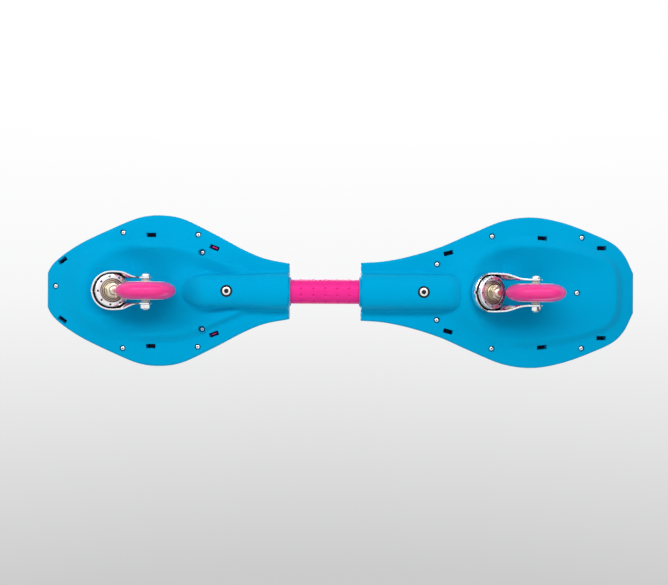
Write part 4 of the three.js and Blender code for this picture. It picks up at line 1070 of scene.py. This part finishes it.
    def build_kingpin(self) -> None:
        """The seat on the pad, the kingpin bolt and the washer and nut on its end."""
        name = self.name
        seat = [(5.3, -0.3), (11.8, -0.3), (12, -0.5), (12, -1.3), (11.8, -1.5), (7.6, -1.5), (7.6, -4.4), (7.3, -4.7), (5.3, -4.7)]
        self.about_swivel("seat_flange", seat, Finish.STEEL, self.deck, f"{name}_swivel_seat")
        washer = [(5.3, -13.3), (8.7, -13.3), (8.9, -13.5), (8.9, -14.6), (8.6, -14.9), (5.6, -14.9), (5.3, -14.7)]
        self.about_swivel("kingpin_lock_washer", washer, Finish.CREAM, self.deck, f"{name}_kingpin_washer")
        nut = hexagon(f"{name}_kingpin_lock_nut", 8.6, -21.2, -15.2)
        chamfer = [(0, -21.2), (7.1, -21.2), (8.7, -20.3), (8.7, -16.1), (7.3, -15.2), (0, -15.2)]
        combine(nut, Join.COMMON, turned("chamfer", chamfer, 96))
        combine(nut, Join.CUT, turned("bore", [(0, -22), (6.0, -22), (5.3, -20.6), (5.3, -15.7), (6.0, -14), (0, -14)], 64))
        bevelled(nut, 0.12, 1, 45)
        moved(nut, self.place, Matrix.Rotation(0.3, 4, "Z"))
        fit_piece(nut, Finish.CREAM, self.deck, f"{name}_kingpin_nut")
        thread = []
        for i in range(8):
            thread += [(5.0, -22.9 + i * 1.25), (4.45, -22.3 + i * 1.25)]
        shank = [(0, -24), (3.5, -24), (4.3, -23.7), *thread, (5.0, -12.4), (5.0, 9.8), (0, 9.8)]
        bolt = turned(f"{name}_kingpin", shank, 64)
        head = hexagon("head", 7.8, 9.8, 14.2)
        combine(head, Join.COMMON, turned("chamfer", [(0, 9.8), (7.9, 9.8), (7.9, 13.4), (6.6, 14.2), (0, 14.2)], 96))
        combine(bolt, Join.ADD, head)
        bevelled(bolt, 0.1, 1, 50)
        moved(bolt, self.place)
        fit_piece(bolt, Finish.CREAM, self.deck, f"{name}_kingpin_bolt")

    def about_axle(self, name: str, profile: Profile, finish: Finish, body: str, *nodes: str, steps: int = 96) -> None:
        """A turned piece about the axle, with the left side as positive."""
        fit_piece(moved(turned(f"{self.name}_{name}", profile, steps), self.axle), finish, body, *nodes)

    def build_wheel(self) -> None:
        """The tyre, its hub with six ribs and the two shielded bearings."""
        name = self.name
        tread = [(16 + 17 * math.sin(a), 10 * math.cos(a)) for a in np.linspace(0.27, math.pi - 0.27, 47)]
        lip = [(20.05, 9.3), (20.15, 9.62)]
        tyre = [*lip, *tread, *[(r, -z) for r, z in lip[::-1]]]
        self.about_axle("wheel_tyre", tyre, Finish.TYRE, self.wheel, f"{name}_tyre", steps=144)
        half = [(14.7, 10), (14.7, 4.7), (15.0, 4.5), (18.0, 4.5), (18.2, 4.8), (18.2, 9.8), (18.4, 10), (19.7, 10), (19.9, 9.8)]
        seat = [(8, 3), (11.3, 3), (11.3, 9.7), (11.6, 10)]
        hub = turned(f"{name}_wheel_hub", [*seat, *half, *[(r, -z) for r, z in half[::-1]], *[(r, -z) for r, z in seat[::-1]]], 96)
        ribs = []
        for i in range(6):
            turn = Matrix.Rotation(i * math.tau / 6, 4, "Z")
            ribs += [moved(bevelled(block("rib", (4.4, 1.6, 4.6), (16.4, 0, side * 6.9)), 0.25, 1), turn) for side in (1, -1)]
        combine(hub, Join.ADD, gathered(ribs))
        fit_piece(moved(hub, self.axle), Finish.HUB, self.wheel, f"{name}_hub")
        for side, way in (("left", 1), ("right", -1)):
            node = f"{name}_wheel_bearing_{side}"
            turn = Matrix.Rotation(0 if way > 0 else math.pi, 4, "X")
            outer = [(9.6, 3.3), (11, 3.3), (11, 10.0), (10.7, 10.3), (10.0, 10.3), (9.7, 10.0), (9.6, 9.8)]
            shield = [(6.2, 3.5), (9.6, 3.5), (9.6, 9.9), (9.3, 10.0), (8.9, 9.75), (6.6, 9.75), (6.3, 9.9), (6.2, 9.8)]
            inner = [(4.05, 3.3), (6.2, 3.3), (6.2, 10.0), (6.0, 10.3), (4.3, 10.3), (4.05, 10.1)]
            for part, profile, finish, nodes in (("outer_race", outer, Finish.STEEL, [node]), ("shield", shield, Finish.SEAL, []),
                                                 ("inner_race", inner, Finish.STEEL, [])):
                piece = turned(f"{name}_wheel_{part}_{side}", profile, 64)
                fit_piece(moved(piece, self.axle, turn), finish, self.wheel, *nodes)

    def build_axle(self) -> None:
        """The axle bolt and nut, the bushes and the spacer."""
        name = self.name
        for side, way in (("left", 1), ("right", -1)):
            profile = [(3.3, 3.3), (3.75, 3.3), (3.75, 10.6), (4.5, 10.6), (4.7, 10.8), (4.7, 13.2), (4.5, 13.4), (3.3, 13.4)]
            piece = turned(f"{name}_axle_spacer_{side}", profile, 48)
            turn = Matrix.Rotation(0 if way > 0 else math.pi, 4, "X")
            fit_piece(moved(piece, self.axle, turn), Finish.HUB, self.swivel, f"{name}_axle_bush_{side}")
        self.about_axle("bearing_distance_tube", [(3.3, -3), (5.4, -3), (5.4, 3), (3.3, 3)], Finish.STEEL, self.swivel,
                        f"{name}_bearing_spacer", steps=48)
        head = [(0, 19.2), (2.6, 19.2), (3.9, 18.6), (4.7, 17.4), (4.9, 16.2), (4.9, 15.8), (4.7, 15.6), (3, 15.6)]
        thread = [(r, -21.2 + 0.35 + i * 0.8 + d) for i in range(8) for r, d in ((3.0, 0), (2.65, 0.4))]
        bolt = turned(f"{name}_axle_button_bolt", [*head, *thread[::-1], (2.4, -21.8), (0, -21.8)], 48)
        combine(bolt, Join.CUT, hexagon("key", 2.0, 17.9, 22))
        bevelled(bolt, 0.08, 1, 50)
        fit_piece(moved(bolt, self.axle), Finish.ZINC, self.swivel, f"{name}_axle_bolt")
        nut = hexagon(f"{name}_axle_lock_nut", 5.6, -20.4, -15.6)
        combine(nut, Join.COMMON, turned("chamfer", [(0, -20.4), (4.6, -20.4), (5.7, -19.4), (5.7, -16.2), (4.9, -15.6), (0, -15.6)], 64))
        combine(nut, Join.CUT, turned("bore", [(0, -22), (3.9, -22), (3.3, -19.9), (3.3, -14), (0, -14)], 48))
        bevelled(nut, 0.1, 1, 45)
        fit_piece(moved(nut, self.axle), Finish.ZINC, self.swivel, f"{name}_axle_nut")


# ---------------------------------------------------------------- studio


@dataclass(frozen=True)
class Lamp:
    """A soft rectangular lamp, in metres and watts."""

    name: str
    place: tuple[float, float, float]
    aim: tuple[float, float, float]
    size: tuple[float, float]
    power: float
    glossy: bool = True


@dataclass(frozen=True)
class Studio:
    """The pale studio: floor, surroundings, lamps and the camera below the board."""

    floor_height: float = -1.25
    floor_reach: float = 60.0
    camera_place: tuple[float, float, float] = (0.0075, -0.001, -0.834)
    camera_roll: float = math.radians(0.34)
    lens: float = 41.79
    lamps: tuple[Lamp, ...] = (
        Lamp("light_table", (0, 0.1, -1.2), (0, 0.1, 0), (3.0, 2.4), 5.4, glossy=False),
        Lamp("key_below", (0.03, 0.27, -0.3), (0, 0, 0.06), (1.4, 0.1), 2.65),
        Lamp("fill_right", (0, -1.2, -0.45), (0, 0, 0.06), (1.6, 0.5), 4.5, glossy=False),
        Lamp("overhead", (0.3, 0.5, 1.5), (0, 0, 0.06), (1.6, 1.2), 22),
        Lamp("overhead_back", (-0.7, -0.9, 1.1), (0, 0, 0.06), (1.2, 1.0), 9),
    )

    flags: tuple[tuple[str, tuple[float, float, float], float, tuple[float, float]], ...] = (
        ("flag_tail", (-1.4, 0, -0.25), 0, (1.6, 0.8)),
        ("flag_nose", (1.4, 0, 0.17), 0, (1.6, 0.3)),
        ("flag_left", (0, 1.6, 0.1), QUARTER, (2.2, 0.4)),
        ("flag_right", (0, -1.6, 0.0), QUARTER, (2.2, 0.5)),
    )

    def build_floor(self) -> None:
        """The floor, far below so that the camera fits under the board."""
        bpy.ops.mesh.primitive_plane_add(size=self.floor_reach, location=(0, 0, self.floor_height))
        floor = bpy.context.active_object
        floor.name = "studio_floor"
        surface = Surface("studio_floor_paint")
        mottle = surface.between(surface.noise(900, 3), 0, 1)
        base = surface.colours(mottle, linear((238, 238, 238)), linear((234, 234, 235)))
        surface.set(Base_Color=base, Roughness=0.7)
        across = surface.node("ShaderNodeSeparateXYZ", {0: surface.place}).outputs["Y"]
        glow = surface.node("ShaderNodeEmission", {"Color": surface.colours(surface.between(across, 0, 1, -2.5, 0.6), (0.7, 0.7, 0.71, 1), (1, 1, 1, 1))})
        paint = surface.tree.nodes["Material Output"].inputs["Surface"]
        mix = surface.node("ShaderNodeMixShader", {0: self.seen(surface.tree, "Is Camera Ray", "Is Glossy Ray", "Is Transmission Ray"), 1: surface.shader.outputs[0], 2: glow.outputs[0]})
        surface.feed(paint, mix.outputs[0])
        floor.data.materials.append(surface.material)
        floor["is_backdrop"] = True

    @staticmethod
    def seen(tree: bpy.types.NodeTree, *rays: str) -> bpy.types.NodeSocket:
        """1 for these kinds of ray, else 0."""
        path = tree.nodes.new("ShaderNodeLightPath")
        total = path.outputs[rays[0]]
        for ray in rays[1:]:
            either = tree.nodes.new("ShaderNodeMath")
            either.operation = "MAXIMUM"
            tree.links.new(total, either.inputs[0])
            tree.links.new(path.outputs[ray], either.inputs[1])
            total = either.outputs[0]
        return total

    def build_surroundings(self) -> None:
        """Pale surroundings: brighter towards the key lamp, for the eye and for reflections."""
        world = bpy.data.worlds.new("studio_surroundings")
        world.use_nodes = True
        bpy.context.scene.world = world
        tree = world.node_tree
        tree.nodes.clear()
        output, mix = tree.nodes.new("ShaderNodeOutputWorld"), tree.nodes.new("ShaderNodeMixShader")
        light, seen = tree.nodes.new("ShaderNodeBackground"), tree.nodes.new("ShaderNodeBackground")
        direction, split = tree.nodes.new("ShaderNodeTexCoord"), tree.nodes.new("ShaderNodeSeparateXYZ")
        half, ramp = tree.nodes.new("ShaderNodeMapRange"), tree.nodes.new("ShaderNodeValToRGB")
        half.inputs["From Min"].default_value = -1
        first, last = ramp.color_ramp.elements
        first.position, first.color, last.position, last.color = 0.0, (0.5, 0.5, 0.51, 1), 0.6, (1, 1, 1, 1)
        for position, shade in ((0.33, 0.6), (0.5, 0.93)):
            ramp.color_ramp.elements.new(position).color = (shade, shade, shade * 1.005, 1)
        light.inputs["Color"].default_value, light.inputs["Strength"].default_value = (1, 1, 1, 1), 0.29
        for source, target in (
            (direction.outputs["Generated"], split.inputs[0]),
            (split.outputs["Y"], half.inputs["Value"]),
            (half.outputs["Result"], ramp.inputs["Fac"]),
            (ramp.outputs["Color"], seen.inputs["Color"]),
            (self.seen(tree, "Is Camera Ray", "Is Glossy Ray", "Is Transmission Ray"), mix.inputs["Fac"]),
            (light.outputs[0], mix.inputs[1]),
            (seen.outputs[0], mix.inputs[2]),
            (mix.outputs[0], output.inputs["Surface"]),
        ):
            tree.links.new(source, target)

    def build_lamps(self) -> None:
        """The soft lamps below and above the board."""
        for lamp in self.lamps:
            data = bpy.data.lights.new(lamp.name, "AREA")
            data.shape, data.size, data.size_y, data.energy = "RECTANGLE", *lamp.size, lamp.power
            light = bpy.data.objects.new(lamp.name, data)
            light.location = lamp.place
            light.rotation_euler = (Vector(lamp.aim) - Vector(lamp.place)).to_track_quat("-Z", "Y").to_euler()
            light.visible_camera, light.visible_glossy = False, lamp.glossy
            bpy.context.collection.objects.link(light)

    def build_flags(self) -> None:
        """Dark cards around the board that only reflections see, for contrast in the bright metal."""
        surface = Surface("studio_flag_cloth")
        weave = surface.between(surface.noise(2, 2), 0, 1)
        surface.set(Base_Color=surface.colours(weave, linear((34, 34, 36)), linear((26, 26, 28))), Roughness=0.9)
        for name, place, turn, size in self.flags:
            bpy.ops.mesh.primitive_plane_add(size=1)
            flag = bpy.context.active_object
            flag.name = name
            moved(flag, Matrix.Translation(place), Matrix.Rotation(turn, 4, "Z"), Matrix.Rotation(QUARTER, 4, "Y"),
                  Matrix.Diagonal((size[1], size[0], 1, 1)))
            flag.data.materials.append(surface.material)
            flag.visible_camera = flag.visible_diffuse = flag.visible_transmission = flag.visible_shadow = False
            flag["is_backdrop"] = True

    def build_camera(self) -> None:
        """The camera below the board, looking straight up."""
        data = bpy.data.cameras.new("camera_below")
        data.lens, data.sensor_width = self.lens, 36.0
        data.clip_start, data.clip_end = 0.01, 200
        camera = bpy.data.objects.new("camera_below", data)
        camera.matrix_world = (
            Matrix.Translation(self.camera_place) @ Matrix.Rotation(math.pi, 4, "Y") @ Matrix.Rotation(self.camera_roll, 4, "Z")
        )
        bpy.context.collection.objects.link(camera)
        bpy.context.scene.camera = camera


FRONT = DeckSizes(
    name="front",
    tip=343.0,
    inwards=-1,
    length=283.0,
    tip_flat=20.0,
    outline=((0.012, 0.3), (0.037, 0.39), (0.127, 0.59), (0.258, 0.8), (0.39, 0.972), (0.47, 1), (0.554, 0.963),
             (0.685, 0.768), (0.816, 0.545), (0.9, 0.435), (1, 0.371)),
    foot=((0.067, 0), (0.067, 0.2), (0.115, 0.42), (0.226, 0.594), (0.36, 0.662), (0.484, 0.679), (0.576, 0.651),
          (0.731, 0.434), (0.82, 0.308), (0.887, 0.137), (0.901, 0)),
    crest=((0.163, 0), (0.163, 0.14), (0.173, 0.25), (0.205, 0.354), (0.286, 0.485), (0.36, 0.546), (0.484, 0.574),
           (0.551, 0.551), (0.684, 0.422), (0.792, 0.251), (0.841, 0.09), (0.848, 0)),
    centre=0.452,
    pad_x=267.6425,
    socket_end=185.0,
    nose_length=33.0,
    flare_until=48.0,
    bolt_x=130.0,
    bore_steps=(24.2, 92.0),
    socket_width=19.5,
    mound=0.97,
    saddle=0.0,
    screws={
        "nose": (0.037, 0.052, "rim"), "side_left": (0.319, 0.767, "rim"), "side_right": (0.319, -0.767, "rim"),
        "waist_left": (0.627, 0.743, "rim"), "waist_right": (0.627, -0.743, "rim"),
        "crest_left": (0.645, 0.507, "crest"), "crest_right": (0.645, -0.507, "crest"),
    },
    slots=((0.069, 0.392, -35), (0.435, 0.736, 0), (0.694, 0.572, 21)),
)

REAR = DeckSizes(
    name="rear",
    tip=-343.0,
    inwards=1,
    length=319.0,
    tip_flat=23.0,
    outline=((0.012, 0.35), (0.035, 0.5), (0.073, 0.64), (0.16, 0.791), (0.276, 0.941), (0.378, 1), (0.48, 0.954),
             (0.597, 0.784), (0.713, 0.6), (0.829, 0.47), (0.92, 0.405), (1, 0.385)),
    foot=((0.05, 0), (0.053, 0.251), (0.078, 0.434), (0.125, 0.537), (0.194, 0.616), (0.285, 0.696), (0.376, 0.736),
          (0.435, 0.725), (0.495, 0.674), (0.586, 0.548), (0.667, 0.422), (0.777, 0.16), (0.793, 0)),
    crest=((0.078, 0), (0.0815, 0.205), (0.1, 0.354), (0.132, 0.434), (0.194, 0.508), (0.254, 0.554), (0.313, 0.594),
           (0.376, 0.616), (0.435, 0.594), (0.495, 0.525), (0.558, 0.4), (0.592, 0.256), (0.604, 0)),
    centre=0.339,
    pad_x=-168.3575,
    socket_end=-153.0,
    nose_length=30.0,
    flare_until=200.0,
    bolt_x=-94.8,
    bore_steps=(51.2, 93.0),
    socket_width=20.7,
    mound=0.0,
    saddle=9.0,
    screws={
        "dish": (0.21, 0, "dish"), "tail_left": (0.197, 0.734, "rim"), "tail_right": (0.197, -0.734, "rim"),
        "side_left": (0.524, 0.744, "rim"), "side_right": (0.524, -0.744, "rim"),
        "waist_left": (0.724, 0.369, "rim"), "waist_right": (0.724, -0.369, "rim"),
    },
    slots=((0.125, 0.596, 0), (0.342, 0.721, 5), (0.683, 0.519, -15)),
)


def main() -> None:
    """Build the board piece by piece, then the studio around it."""
    logging.basicConfig(level=logging.INFO, format="%(name)s %(message)s")
    pattern = platform_screw()
    for deck in (Deck(FRONT), Deck(REAR)):
        deck.build_shell()
        deck.build_platform()
        deck.build_slot_seals()
        deck.build_screws(pattern)
        deck.build_tube_bolt()
    bpy.data.objects.remove(pattern)
    for sizes in (FRONT, REAR):
        caster = Caster(sizes.name, sizes.pad_x, ForkSizes())
        caster.build_kingpin()
        caster.build_bearing()
        caster.build_fork()
        caster.build_wheel()
        caster.build_axle()
    joint = TorsionJoint(SleeveSizes())
    joint.build_sleeve()
    joint.keep_inner_pieces()
    studio = Studio()
    studio.build_floor()
    studio.build_surroundings()
    studio.build_lamps()
    studio.build_flags()
    studio.build_camera()
    bpy.context.scene.view_settings.view_transform = "Standard"
    sizes = {"load": [list(corner) for corner in bounds_at_load], "finish": [list(corner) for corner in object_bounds()]}


if __name__ == "__main__":
    main()
